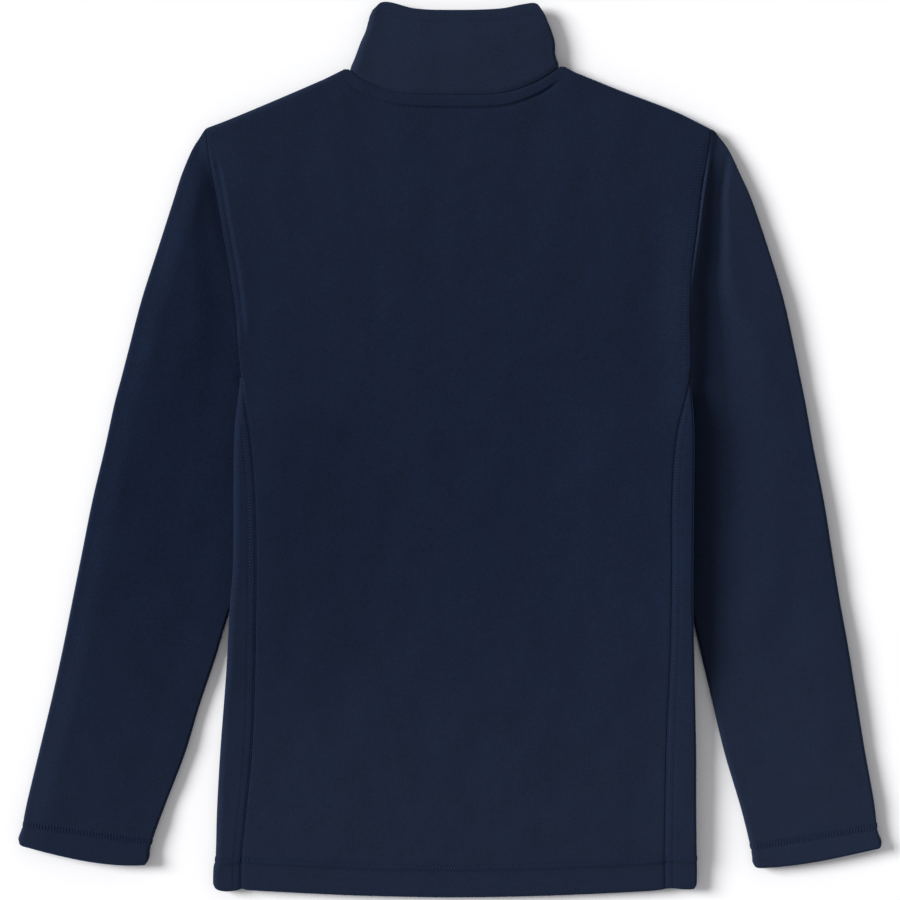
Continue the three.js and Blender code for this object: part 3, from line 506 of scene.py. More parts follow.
def cloth_wall(name, grid, thickness, relief, rims, closed_from=None):
    """A closed sheet: the grid is its outer face, moved out by the relief, and the grid moved in
    by the cloth's thickness is its inner one. A rim rounds an edge and stands out that far."""
    normals = grid_normals(grid, closed_from)
    outer = moved(grid, normals, relief)
    inner = moved(grid, normals, -thickness)
    rows, columns = grid.shape[:2]
    count = rows * columns
    outer_number = np.arange(count).reshape(rows, columns)
    if closed_from is not None:
        outer_number[closed_from:, -1] = outer_number[closed_from:, 0]
    inner_number = outer_number + count
    points = [outer.reshape(-1, 3), inner.reshape(-1, 3)]
    used = 2 * count
    faces = []

    def add_strip(first, second):
        faces.append(np.stack([first[:-1], first[1:], second[1:], second[:-1]], axis=1))

    for row in range(rows - 1):
        add_strip(outer_number[row], outer_number[row + 1])
        add_strip(inner_number[row + 1], inner_number[row])
    open_rows = rows if closed_from is None else closed_from + 1
    borders = {
        "foot": (np.s_[0, :], np.s_[1, :], -1),
        "top": (np.s_[-1, :], np.s_[-2, :], 1),
        "left": (np.s_[:open_rows, 0], np.s_[:open_rows, 1], 1),
        "right": (np.s_[:open_rows, -1], np.s_[:open_rows, -2], -1),
    }
    caps = []
    for edge, (border, beside, turn) in borders.items():
        lines = [outer_number[border]]
        if edge in rims:
            away = unit(grid[border] - grid[beside])
            middle = (outer[border] + inner[border]) / 2
            for angle in RIM_ANGLES:
                cos, sin = math.cos(math.radians(angle)), math.sin(math.radians(angle))
                ring = middle + cos * (outer[border] - middle) + sin * rims[edge] * away
                points.append(ring)
                number = np.arange(used, used + len(ring))
                used += len(ring)
                if closed_from is not None and edge == "top":
                    number[-1] = number[0]
                lines.append(number)
        lines.append(inner_number[border])
        for first, second in zip(lines, lines[1:]):
            add_strip(*((first, second) if turn > 0 else (second, first)))
        if len(lines) > 2 and not (closed_from is not None and edge == "top"):
            for end, way in ((0, 1), (-1, -1)):
                cap = [line[end] for line in lines]
                caps.append(cap[:: way * turn])
    quads = np.concatenate(faces).tolist() + caps
    return add_mesh(name, np.concatenate(points), quads)


def add_mesh(name, points, faces):
    """A smooth mesh object from points in millimetres, without the points that no face uses."""
    used = np.unique(np.concatenate([np.asarray(face) for face in faces]))
    renumber = np.full(len(points), -1)
    renumber[used] = np.arange(len(used))
    mesh = bpy.data.meshes.new(name)
    corners = [[int(renumber[corner]) for corner in face] for face in faces]
    mesh.from_pydata((points[used] * MM).tolist(), [], corners)
    mesh.shade_smooth()
    made = bpy.data.objects.new(name, mesh)
    bpy.context.scene.collection.objects.link(made)
    return made


def finish_piece(made, material, replaces=()):
    made.data.materials.append(material)
    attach(made, BODY)
    if replaces:
        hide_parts(*replaces)


# Materials

def linear(hex_colour):
    """An sRGB hex colour as linear red, green, blue and alpha."""
    channels = [int(hex_colour[start:start + 2], 16) / 255 for start in (1, 3, 5)]
    bright = [c / 12.92 if c <= 0.04045 else ((c + 0.055) / 1.055) ** 2.4 for c in channels]
    return (*bright, 1)


def add_node(tree, kind, values=None, links=None, **settings):
    """Adds a node with its settings, its input values, and its links from other nodes' outputs."""
    made = tree.nodes.new(kind)
    for name, value in settings.items():
        setattr(made, name, value)
    for socket, value in (values or {}).items():
        made.inputs[socket].default_value = value
    for socket, source in (links or {}).items():
        tree.links.new(source, made.inputs[socket])
    return made


def per_metre(size_mm):
    """A texture's scale for a grain of this size."""
    return 1 / (size_mm * MM)


def new_material(name):
    """An empty material, its node tree, and the place on the object that its patterns follow."""
    material = bpy.data.materials.new(name)
    material.use_nodes = True
    tree = material.node_tree
    tree.nodes.clear()
    return material, tree, add_node(tree, "ShaderNodeTexCoord").outputs["Object"]


def finish_material(material, shader):
    add_node(
        material.node_tree, "ShaderNodeOutputMaterial", links={"Surface": shader.outputs["BSDF"]}
    )
    return material


# Anti-pill polyester fleece: brushed, sheared and faintly pebbled. Matte, deep navy, with the
# pile catching a little light where it turns away. Each cut piece's colour carries painted light
# and shade: it is lighter or darker as the light falls on it. Toward the hem, cuffs and shoulders
# the colour is painted paler. The single fibres are too fine to show, so the nap is drawn as
# coarse as its tufts, and in soft clouds.
NAP = {"tufts": (2.1, 3, 0.6), "clouds": (34, 3, 0.55), "fibres": (0.9, 1, 0.5)}
CLOUD_SHARE = 0.25
# Painted light: how far toward the foot and the top of each piece, by height, the colour is painted
# paler, and the pale colour that is added there
PAINTED_LIGHT_FROM_Y = {"foot": (-0.02, -0.34, 0.85), "top": (0.02, 0.3, 0.35)}
PAINTED_LIGHT_COLOUR = (0.0034, 0.0043, 0.0058)


def brushed_navy_fleece(piece, painted_light):
    material, tree, place = new_material(f"brushed_fleece_{piece}")
    nap = {}
    for grain, (size, detail, rough) in NAP.items():
        nap[grain] = add_node(
            tree, "ShaderNodeTexNoise",
            {"Scale": per_metre(size), "Detail": detail, "Roughness": rough}, {"Vector": place},
        ).outputs["Fac"]
    shade = add_node(
        tree, "ShaderNodeMath", {1: CLOUD_SHARE}, {0: nap["clouds"], 2: nap["tufts"]},
        operation="MULTIPLY_ADD",
    )
    ramp = add_node(tree, "ShaderNodeValToRGB", links={"Fac": shade.outputs["Value"]})
    ramp.color_ramp.elements[0].position = 0.35
    ramp.color_ramp.elements[0].color = linear("#070f1f")
    ramp.color_ramp.elements[1].position = 0.9
    ramp.color_ramp.elements[1].color = linear("#0b1930")
    # Painted light and shade: each piece's own lightening or darkening, plus a paler colour painted in
    # by height toward the hem, cuffs, shoulders and collar
    along = add_node(tree, "ShaderNodeSeparateXYZ", links={"Vector": place}).outputs["Y"]
    toward = {}
    for end_of_piece, (start, end, gain) in PAINTED_LIGHT_FROM_Y.items():
        toward[end_of_piece] = add_node(
            tree, "ShaderNodeMapRange",
            {"From Min": start, "From Max": end, "To Min": painted_light / 2, "To Max": painted_light / 2 + gain},
            {"Value": along}, interpolation_type="SMOOTHSTEP",
        ).outputs["Result"]
    share = add_node(
        tree, "ShaderNodeMath", links={0: toward["foot"], 1: toward["top"]}
    ).outputs["Value"]
    colour = add_node(
        tree, "ShaderNodeVectorMath", {0: PAINTED_LIGHT_COLOUR}, {1: share, 2: ramp.outputs["Color"]},
        operation="MULTIPLY_ADD",
    )
    tufts = add_node(
        tree, "ShaderNodeBump", {"Strength": 0.45, "Distance": 0.4 * MM}, {"Height": nap["tufts"]}
    )
    fibres = add_node(
        tree, "ShaderNodeBump", {"Strength": 0.4, "Distance": 0.2 * MM},
        {"Height": nap["fibres"], "Normal": tufts.outputs["Normal"]},
    )
    shader = add_node(
        tree, "ShaderNodeBsdfPrincipled",
        {
            "Roughness": 0.95, "IOR": 1.5, "Specular IOR Level": 0.15,
            "Sheen Weight": 0.8, "Sheen Roughness": 0.3, "Sheen Tint": linear("#566e9a"),
        },
        {"Base Color": colour.outputs["Vector"], "Normal": fibres.outputs["Normal"]},
    )
    return finish_material(material, shader)


# Textured polyester thread: smoother than the fleece, so that each stitch catches a small light.
# Its twist is too fine to show and is drawn at twice its size.
def polyester_thread():
    material, tree, place = new_material("textured_polyester_thread")
    twist = add_node(
        tree, "ShaderNodeTexNoise", {"Scale": per_metre(0.6), "Detail": 1}, {"Vector": place}
    )
    ramp = add_node(tree, "ShaderNodeValToRGB", links={"Fac": twist.outputs["Fac"]})
    ramp.color_ramp.elements[0].color = linear("#0e1a2e")
    ramp.color_ramp.elements[1].color = linear("#1c2a45")
    shader = add_node(
        tree, "ShaderNodeBsdfPrincipled",
        {"Roughness": 0.85, "IOR": 1.55, "Specular IOR Level": 0.1},
        {"Base Color": ramp.outputs["Color"]},
    )
    return finish_material(material, shader)


# Woven polyester zip tape: flat, tight herringbone, matte. Its ribs are drawn four times as coarse
# as they are, so that they show.
def woven_zip_tape():
    material, tree, place = new_material("woven_polyester_tape")
    weave = add_node(
        tree, "ShaderNodeTexWave", {"Scale": per_metre(4), "Distortion": 0.4}, {"Vector": place},
        bands_direction="DIAGONAL",
    )
    ramp = add_node(tree, "ShaderNodeValToRGB", links={"Fac": weave.outputs["Fac"]})
    ramp.color_ramp.elements[0].color = linear("#0f1520")
    ramp.color_ramp.elements[1].color = linear("#1b2434")
    bumps = add_node(
        tree, "ShaderNodeBump", {"Strength": 0.4, "Distance": 0.15 * MM},
        {"Height": weave.outputs["Fac"]},
    )
    shader = add_node(
        tree, "ShaderNodeBsdfPrincipled", {"Roughness": 0.85, "IOR": 1.5},
        {"Base Color": ramp.outputs["Color"], "Normal": bumps.outputs["Normal"]},
    )
    return finish_material(material, shader)


def plain_finish(name, colour, patches, rough, values):
    """A smooth surface with softly uneven gloss: its colour, the size in mm and the detail of its
    patches, its least and greatest roughness, and the shader's other values."""
    material, tree, place = new_material(name)
    size, detail = patches
    flow = add_node(
        tree, "ShaderNodeTexNoise", {"Scale": per_metre(size), "Detail": detail}, {"Vector": place}
    )
    gloss = add_node(
        tree, "ShaderNodeMapRange", dict(zip(("To Min", "To Max"), rough)),
        {"Value": flow.outputs["Fac"]},
    )
    shader = add_node(
        tree, "ShaderNodeBsdfPrincipled", {"Base Color": linear(colour), **values},
        {"Roughness": gloss.outputs["Result"]},
    )
    return finish_material(material, shader)


# Painted light and shade for each piece: the right sleeve and collar are painted lighter and the left
# sleeve darker, as the light falls on them
PIECE_PAINTED_LIGHT = {"body": 0, "sleeve_left": -0.3, "sleeve_right": 0.5, "collar": 0.7}
FLEECE_CLOTH = {piece: brushed_navy_fleece(piece, painted_light) for piece, painted_light in PIECE_PAINTED_LIGHT.items()}
THREAD = polyester_thread()
TAPE_CLOTH = woven_zip_tape()

# Nylon coil and box: dyed through, smooth, with a soft plastic light
NYLON = plain_finish("dyed_nylon", "#1a2231", (3, 2), (0.38, 0.5), {"IOR": 1.53})

# Zinc die-casting with a dark nickel plate: a satin metal, slightly uneven from tumbling
GUNMETAL = plain_finish("gunmetal_plated_zinc", "#4c5058", (2, 3), (0.28, 0.42), {"Metallic": 1})


# The cut pieces

def uneven_steps(length, fine, coarse, near_start, near_end):
    """Places from 0 to 1 along a length in mm, close together near its ends."""
    start = np.arange(0, near_start, fine)
    end = length - np.arange(0, near_end, fine)[::-1]
    middle_count = max(2, round((length - near_start - near_end) / coarse))
    middle = np.linspace(near_start, length - near_end, middle_count, endpoint=False)
    return np.concatenate([start, middle, end]) / length


# How finely each piece is made across: its length, the steps near its ends and between, and how
# far in from each end they stay fine
ACROSS = {
    "back": (352, 0.85, 3, 9, 9), "front": (170, 1.6, 6, 20, 6),
    "sleeve_top": (95, 0.9, 2.4, 7, 14), "sleeve_foot": (95, 1, 7, 7, 7),
}
HEM_BAND = 34
PANEL_ROWS = {"hem": 30, "low": 118, "high": 62, "roll": 28}


def row_shares(part):
    return np.linspace(0, 1, PANEL_ROWS[part], endpoint=False)[:, None]


def rows_to_armpit(foot):
    """Rows of a body panel from its foot to just under the armpit, close together over the hem."""
    above_hem = foot + HEM_BAND
    return [foot + HEM_BAND * row_shares("hem"), mix(above_hem, ARMPIT_Y, row_shares("low"))]


def panel_rows_y(foot, top):
    """Rows of a body panel, close together also where the shoulder rolls over."""
    roll = np.linspace(0, 1, PANEL_ROWS["roll"] + 1)[:, None]
    high = mix(ARMPIT_Y, top - SHOULDER_ROLL, row_shares("high"))
    return np.concatenate(rows_to_armpit(foot) + [high, top - SHOULDER_ROLL * (1 - roll) ** 2])


def panel_places(shares, left, right, neck_y, tips):
    foot = hem_y(mix(left(HEM_CENTRE_Y), right(HEM_CENTRE_Y), shares)) + HEM_ROUND
    top = panel_top_y(mix(*tips, shares), neck_y) - HALF_SEAM
    y = panel_rows_y(foot, top)
    return mix(left(y), right(y), shares), y


# Twin-needle cover stitch: how wide it is, its stitch, and how deep its needle rows sink
COVER_WIDTH = 5.6
ARMHOLE_COVER_WIDTH = {"left": 2.8, "right": 5}
STITCH = 2.4
STITCH_SINK = 0.22
SIDE_STITCH_SINK = 0.3
NECK_STITCH_SINK = 0.8
TOP_STITCH_SINK = 0.3
SEAM_ROLL = 0.22
NECK_SEAM_GROOVE = 0.7
COLLAR_SEAM_GROOVE = {"left": 0.4, "right": 1.1}
DRAWN_SEAM_ROLL = 0.65
SEAM_ROLL_REACH = 1.1
COVER_FORM = {
    "run_in": 1.3, "run_in_end": 0.1, "run_out": 1.6, "strip": 0.7,
    "near_row": 1.6, "near_half_width": 0.8, "far_row": 0.3, "far_half_width": 0.7,
}


def cover_relief(distance, near, sink=STITCH_SINK):
    """The strip that a cover stitch presses down, most along its row nearest the edge."""
    far, form = near + COVER_WIDTH, COVER_FORM
    strip = ease(near - form["run_in"], near - form["run_in_end"], distance)
    strip = strip * ease(far + form["run_out"], far, distance)
    near_row = form["near_row"] * bump(distance, near, form["near_half_width"])
    far_row = form["far_row"] * bump(distance, far, form["far_half_width"])
    return -sink * (form["strip"] * strip + near_row + far_row)


def seam_edge(distance, roll=SEAM_ROLL):
    """Cloth that rolls down into a seam."""
    return -roll * np.exp(-distance / SEAM_ROLL_REACH)


def at_armhole(y, foot_fade):
    """Where an armhole seam's form is full: less near the shoulder tip, and none by the armpit."""
    return ease(*TIP_FADE, y) * ease(*foot_fade, y)


def seam_step(distance, step):
    """The two low steps up from an armhole seam, with its cover stitch between them."""
    outer = step["outer"] * ease(SEAM_STEP_LIP, 0, distance)
    inner = step["inner"] * ease(step["inner_end"], step["inner_start"], distance)
    return outer + inner


ARMHOLE_STITCH = 1.8
SIDE_STITCH = 1
HEM_STITCH = 19.8
COLLAR_TOP_STITCH = 8.4
NECK_STITCH = 11.4
NECK_STITCH_INSET = 4
UNDER_COLLAR_FADE = 8
DRAWN_FADE = 10
GROOVE_HALF_WIDTH = {"neck_seam": 1.6, "neck_stitch": 1.3, "collar_seam": 2.4, "collar_stitch": 0.9}


def build_back():
    shares = uneven_steps(*ACROSS["back"])
    left = lambda y: body_row("left_seam", y) + HALF_SEAM
    right = lambda y: body_row("right_seam", y) - HALF_SEAM
    tips = (left(LEFT_SHOULDER[0][1]), right(RIGHT_SHOULDER[-1][1]))
    x, y = panel_places(shares, left, right, back_neck_y, tips)
    middle = side_lift(x, y) + fold_depth(x, y) / 2 + HALF_SEAM
    raised = NECK_BAND["raise"] * neck_band_share(x, y)
    grid = np.stack([x, y, np.maximum(body_top_z(x, y), middle) + raised], axis=2)
    from_edge = edge_distances(grid)
    above_armpit = ease(ARMPIT_Y - DRAWN_FADE, ARMPIT_Y + DRAWN_FADE, y)
    drawn = mix(DRAWN_SEAM_ROLL, SEAM_ROLL, above_armpit)
    relief = seam_edge(from_edge["left"]) + seam_edge(from_edge["right"], drawn)
    for side, step in SEAM_STEP.items():
        relief = relief - at_armhole(y, step["foot_fade"]) * seam_step(from_edge[side], step)
    relief = relief + cover_relief(from_edge["foot"], HEM_STITCH)
    groove = NECK_SEAM_GROOVE * bump(from_edge["top"], 0, GROOVE_HALF_WIDTH["neck_seam"])
    stitched = bump(from_edge["top"], NECK_STITCH, GROOVE_HALF_WIDTH["neck_stitch"])
    sunk = groove + NECK_STITCH_SINK * stitched
    relief = relief - inside_neck(x, UNDER_COLLAR_FADE) * sunk
    thickness = hem_thickness(x, y) + raised
    made = cloth_wall("back_panel", grid, thickness, relief, {"foot": HEM_ROUND})
    finish_piece(made, FLEECE_CLOTH["body"], ["back"])
    return made, grid, relief


def build_front(side):
    sign = SIGN[side]
    zip_x = CENTRE_X + sign * ZIP_GAP / 2

    def edge(y):
        seam = body_row(f"{side}_seam", y)
        fold = body_row(f"{side}_edge", y)
        return fold - sign * (FRONT_SEAM_RATIO * np.abs(fold - seam) + HALF_SEAM)

    shares = uneven_steps(*ACROSS["front"])
    tips = (zip_x, edge(LEFT_SHOULDER[0][1]))
    x, y = panel_places(shares, lambda y: zip_x + 0 * y, edge, front_neck_y, tips)
    middle = side_lift(x, y) + fold_depth(x, y) / 2 - HALF_SEAM
    grid = np.stack([x, y, np.minimum(body_underside_z(x, y), middle)], axis=2)
    if side == "right":
        grid = grid[:, ::-1]
        x, y = x[:, ::-1], y[:, ::-1]
    thickness = np.maximum(mix(FLEECE, TURNED_ZIP_EDGE, zip_edge_share(x)), hem_thickness(x, y))
    made = cloth_wall(f"front_panel_{side}", grid, thickness, 0, {"foot": HEM_ROUND})
    finish_piece(made, FLEECE_CLOTH["body"], [f"front_{side}"])
    return made


# A side panel's columns above and below its fold, and how much they crowd toward it; the edge of
# its grid that is sewn to the back
SIDE_COLUMNS = {"top": 46, "top_crowding": 1.25, "foot": 18, "foot_crowding": 1.6}
BACK_SEAM_EDGE = {"left": "right", "right": "left"}


def build_side(side):
    sign = SIGN[side]

    def place(part, is_top):
        ratio = 1 if is_top else FRONT_SEAM_RATIO
        hem_edge = body_row(f"{side}_edge", HEM_CENTRE_Y)
        hem_inset = np.abs(hem_edge - body_row(f"{side}_seam", HEM_CENTRE_Y))
        foot = hem_y(hem_edge - sign * hem_inset * ratio * part) + HEM_ROUND
        y = np.concatenate(rows_to_armpit(foot) + [0 * foot + ARMPIT_Y])
        fold = body_row(f"{side}_edge", y)
        inset = np.abs(fold - body_row(f"{side}_seam", y))
        x = fold - sign * (inset * ratio - SIDE_SEAM) * part
        on_fold = side_lift(x, y) + fold_depth(x, y) / 2
        face = body_top_z(x, y) if is_top else body_underside_z(x, y)
        return np.stack([x, y, np.where(part == 0, on_fold, face)], axis=2)

    columns = SIDE_COLUMNS
    top_parts = np.linspace(1, 0, columns["top"] + 1) ** columns["top_crowding"]
    foot_parts = np.linspace(0, 1, columns["foot"] + 1)[1:] ** columns["foot_crowding"]
    grid = np.concatenate([place(top_parts[None, :], True), place(foot_parts[None, :], False)], axis=1)
    if side == "left":
        grid = grid[:, ::-1]
    from_edge = edge_distances(grid)
    from_seam = from_edge[BACK_SEAM_EDGE[side]]
    relief = cover_relief(from_seam, SIDE_STITCH, SIDE_STITCH_SINK)
    relief = relief + seam_edge(from_seam, DRAWN_SEAM_ROLL if side == "left" else SEAM_ROLL)
    relief = relief + seam_edge(from_edge[side])
    relief = relief + cover_relief(from_edge["foot"] + hem_corner(grid[:1, :, 0]), HEM_STITCH)
    thickness = hem_thickness(grid[..., 0], grid[..., 1])
    made = cloth_wall(f"side_panel_{side}", grid, thickness, relief, {"foot": HEM_ROUND})
    finish_piece(made, FLEECE_CLOTH["body"], [f"side_{side}"])
    return made, grid, relief


SLEEVE_ROWS = {"armhole": 70, "low": 150, "cuff": 34}


def build_sleeve(side):
    sign = SIGN[side]
    table = LEFT_SLEEVE if side == "left" else RIGHT_SLEEVE
    rows = np.concatenate([
        np.linspace(0, ARMPIT_ROW, SLEEVE_ROWS["armhole"], endpoint=False),
        np.linspace(ARMPIT_ROW, CUFF_STITCH_ROW - CUFF_RUN_IN, SLEEVE_ROWS["low"], endpoint=False),
        np.linspace(CUFF_STITCH_ROW - CUFF_RUN_IN, CUFF_ROW, SLEEVE_ROWS["cuff"]),
    ])[:, None]
    numbers = range(len(table))
    section = {
        name: through(numbers, column_of(table, SLEEVE_COLUMNS, name), rows)
        for name in SLEEVE_COLUMNS
    }
    inner_x = body_row(f"{side}_edge", section["inner_y"]) - sign * (section["tuck"] - HALF_SEAM)
    in_turn_up = ease(CUFF_STITCH_ROW, CUFF_ROW, rows)
    cuff_share = in_turn_up * HEM_ROUND
    outer = np.stack([section["outer_x"], section["outer_y"] + cuff_share], axis=2)
    inner = np.stack([inner_x, section["inner_y"] + cuff_share], axis=2)
    width = np.linalg.norm(outer - inner, axis=2)
    is_tube = rows >= ARMPIT_ROW
    bow = CUFF_BOW[side] * in_turn_up
    ridge, stuffed = SEAM_RIDGE, SLEEVE_PUFF[side]
    on_seam = body_row(f"{side}_edge", section["inner_y"])
    beside_body = ease(*TIP_FADE, section["inner_y"])
    stepped = (SEAM_STEP[side]["outer"] + SEAM_STEP[side]["inner"]) * beside_body
    seam_z = body_top_z(inner_x, section["inner_y"]) - stepped - SEAM_HELD * SEAM_ROLL
    seam_held = ease(ARMPIT_ROW + 1, ARMPIT_ROW, rows)
    ridge_held = beside_body * ease(*ridge["fade"], section["inner_y"])
    valley_held = beside_body * ease(
        CUFF_STITCH_ROW - VALLEY_END["none"], CUFF_STITCH_ROW - VALLEY_END["full"], rows
    )
    dip = {
        name: from_table(VALLEY[side], VALLEY_COLUMNS, name, section["inner_y"])
        for name in VALLEY_COLUMNS
    }
    puff_high = mix(stuffed["high"], stuffed["low"], ease(*PUFF_LOW_ROWS, rows))
    toward_cuff = ease(CUFF_STITCH_ROW - 1, CUFF_STITCH_ROW, rows)
    puff_held = ease(0, PUFF_FULL_ROW, rows) * (1 - PUFF_IN_CUFF * toward_cuff)
    in_cuff = ease(CUFF_STITCH_ROW - CUFF_TURN["start"], CUFF_STITCH_ROW, rows)
    right_fold = "inner" if side == "left" else "outer"
    pressed = {"outer": 1, "inner": 1, right_fold: PRESSED_FOLD}

    def cuff_corner(from_outer):
        from_fold = np.minimum(from_outer, width - from_outer)
        return corner_rise(from_fold, CUFF_CORNER) * in_turn_up

    def face(share, is_top):
        plan = mix(outer, inner, share[..., None])
        x = plan[..., 0]
        bowed = bow * (1 - (2 * share**CUFF_SKEW - 1) ** 2)
        y = plan[..., 1] - bowed + cuff_corner(share * width)
        depth = mix(section["outer_depth"], section["inner_depth"], ease(*SLEEVE_SLOPE, share))
        swell = ease(PUFF_START, stuffed["reach"], share * width)
        puff = puff_high * puff_held * (1 - share) * swell
        puff = puff - stuffed["edge_fall"] * puff_held * (1 - swell) if is_top else 0 * share
        outer_round = fold_round(share * width, (section["outer_depth"] + puff) * pressed["outer"])
        inner_round = fold_round((1 - share) * width, section["inner_depth"] * pressed["inner"])
        rounded = np.minimum(outer_round, np.where(is_tube, inner_round, 1))
        if not is_top:
            return np.stack([x, y, depth / 2 * (1 - rounded)], axis=2)
        folds = (soft_folds(x, y) + ripple(x, y)) * (1 - in_cuff)
        full = depth + puff + folds
        from_seam = np.abs(x - on_seam)
        low = ease(dip["rise_to"], dip["rise_from"], from_seam) * valley_held
        dip_z = mix(dip["near_z"], dip["z"], np.clip(from_seam / (dip["rise_from"] + 1), 0, 1))
        full = mix(full, np.minimum(full, dip_z + VALLEY_FOLDS * folds), low)
        level = depth / 2 + (full - depth / 2) * rounded
        from_edge = (1 - share) * width
        held = seam_held * bump(from_edge, 0, SEAM_FALL)
        level = mix(level, seam_z, held)
        pushed_up = ridge["height"][side] * ridge_held
        pushed_up = pushed_up * bump(from_edge, ridge["at"], ridge["half_width"])
        return np.stack([x, y, np.maximum(level + pushed_up, depth / 2)], axis=2)

    top = face(uneven_steps(*ACROSS["sleeve_top"])[::-1][None, :] + 0 * rows, True)
    foot = face(uneven_steps(*ACROSS["sleeve_foot"])[1:][None, :] + 0 * rows, False)
    grid = np.concatenate([top, foot], axis=1)
    if side == "right":
        grid = grid[:, ::-1]
    closed_from = SLEEVE_ROWS["armhole"]
    from_edge = edge_distances(grid)
    armhole = np.where(is_tube, 0, seam_edge(from_edge["left"]) + seam_edge(from_edge["right"]))
    cuff_stitch = from_edge["top"][int(np.argmax(rows[:, 0] >= CUFF_STITCH_ROW))]
    relief = armhole + cover_relief(from_edge["top"], cuff_stitch)
    turned = ease(CUFF_STITCH_ROW - CUFF_TURN["start"], CUFF_STITCH_ROW + CUFF_TURN["end"], rows)
    thickness = mix(FLEECE, TURNED_HEM, turned) + 0 * grid[..., 0]
    made = cloth_wall(
        f"sleeve_cloth_{side}", grid, thickness, relief, {"top": HEM_ROUND}, closed_from
    )
    finish_piece(made, FLEECE_CLOTH[f"sleeve_{side}"], [f"sleeve_{side}"])
    return made, grid, relief, cuff_stitch


COLLAR_GRID = {"up": 56, "front": 14, "back": 96}
COLLAR_ROUND = 1.5
COLLAR_SWELL = {"stand": 1.6, "ripple": 1.2, "above_stitch": 0.25, "half_width": 3}


def build_collar():
    up = np.linspace(0, 1, COLLAR_GRID["up"])[:, None]
    left_fold, right_fold = (
        from_table(COLLAR_ROWS, COLLAR_COLUMNS, name, up) for name in COLLAR_COLUMNS[1:]
    )
    middle, half = (left_fold + right_fold) / 2, (right_fold - left_fold) / 2
    base_middle, base_half = middle[0, 0], half[0, 0]

    def face(across, is_back):
        seam = mix(COLLAR_SEAM, COLLAR_END_SEAM, across**4)
        base_x = base_middle + base_half * across
        top_y = along_points(COLLAR_TOP, across)
        level = np.sqrt(np.abs(1 - across**2))
        foot = (back_neck_y(base_x) if is_back else front_neck_y(base_x)) + seam
        top = top_y - COLLAR_ROUND - (0 if is_back else COLLAR_TOP_DIP_FRONT * level**2)
        x = middle + half * across
        y = mix(foot, top, up)
        pressed = np.where(across > 0, PRESSED_FOLD, 1)
        rounded = fold_round((1 - np.abs(across)) * half, COLLAR_DEPTH * pressed)
        z = COLLAR_DEPTH / 2 * (1 + (rounded if is_back else -rounded))
        if is_back:
            stand = COLLAR_SWELL["stand"] * np.sin(math.pi * up) * (1 - across**2)
            z = z + (stand + COLLAR_SWELL["ripple"] * ripple(x, y)) * rounded
        return np.stack([x, y, z], axis=2)

    zip_left = (CENTRE_X - ZIP_GAP / 2 - middle) / half
    zip_right = (CENTRE_X + ZIP_GAP / 2 - middle) / half
    toward_fold = (np.linspace(1, 0, COLLAR_GRID["front"] + 1) ** 2)[None, :]
    front_left = face(mix(-1, zip_left, toward_fold), False)
    front_right = face(mix(1, zip_right, toward_fold), False)[:, ::-1]
    back_across = -np.cos(np.linspace(0, math.pi, COLLAR_GRID["back"] + 1))[None, 1:-1]
    back = face(back_across + 0 * up, True)
    grid = np.concatenate([front_left, back, front_right], axis=1)
    from_edge = edge_distances(grid)
    rightward = ease(NECK_LEFT, NECK_RIGHT, grid[..., 0])
    groove = mix(COLLAR_SEAM_GROOVE["left"], COLLAR_SEAM_GROOVE["right"], rightward)
    relief = -groove * bump(from_edge["foot"], 0, GROOVE_HALF_WIDTH["collar_seam"])
    stitched = bump(from_edge["top"], COLLAR_TOP_STITCH, GROOVE_HALF_WIDTH["collar_stitch"])
    above = bump(from_edge["top"], COLLAR_TOP_STITCH / 2, COLLAR_SWELL["half_width"])
    relief = relief - TOP_STITCH_SINK * stitched
    relief = relief + COLLAR_SWELL["above_stitch"] * above
    turned = mix(COLLAR_WALL, TURNED_ZIP_EDGE, zip_edge_share(grid[..., 0]))
    thickness = np.where(grid[..., 2] > COLLAR_DEPTH / 2, COLLAR_WALL, turned)
    made = cloth_wall("stand_collar", grid, thickness, relief, {"top": COLLAR_ROUND})
    finish_piece(made, FLEECE_CLOTH["collar"], ["collar"])
    return made, grid, relief


# Stitching, made from the cut pieces' own points

def at_places(values, along, at):
    """Points or directions known along a line, taken at other places on it."""
    return np.stack([np.interp(at, along, values[:, k]) for k in range(3)], axis=-1)


def line_at(grid, relief, edge, distance, part=slice(None)):
    """The line on a piece's outer face at a distance from one of its edges, with its normals."""
    normals = grid_normals(grid)
    layers = [grid, moved(grid, normals, relief), normals]
    if edge in ("foot", "top"):
        layers = [layer.transpose(1, 0, 2) for layer in layers]
    if edge in ("right", "top"):
        layers = [layer[:, ::-1] for layer in layers]
    along = steps_from(layers[0])
    distances = np.broadcast_to(distance, len(along))
    line, facing = (
        np.array([
            at_places(layer[row], along[row], distances[row]) for row in range(len(along))[part]
        ])
        for layer in layers[1:]
    )
    return line, unit(facing)


def spaced(line, facing, step):
    """The line again, with points one step apart."""
    along = np.concatenate([[0], np.cumsum(np.linalg.norm(np.diff(line, axis=0), axis=1))])
    at = np.linspace(0, along[-1], max(2, round(along[-1] / step) + 1))
    return at_places(line, along, at), unit(at_places(facing, along, at))


THREAD_SIDES = 5
THREAD_RINGS = ((0, 0.35, -0.3), (0.25, 1, 0.05), (0.75, 1, 0.05), (1, 0.35, -0.3))


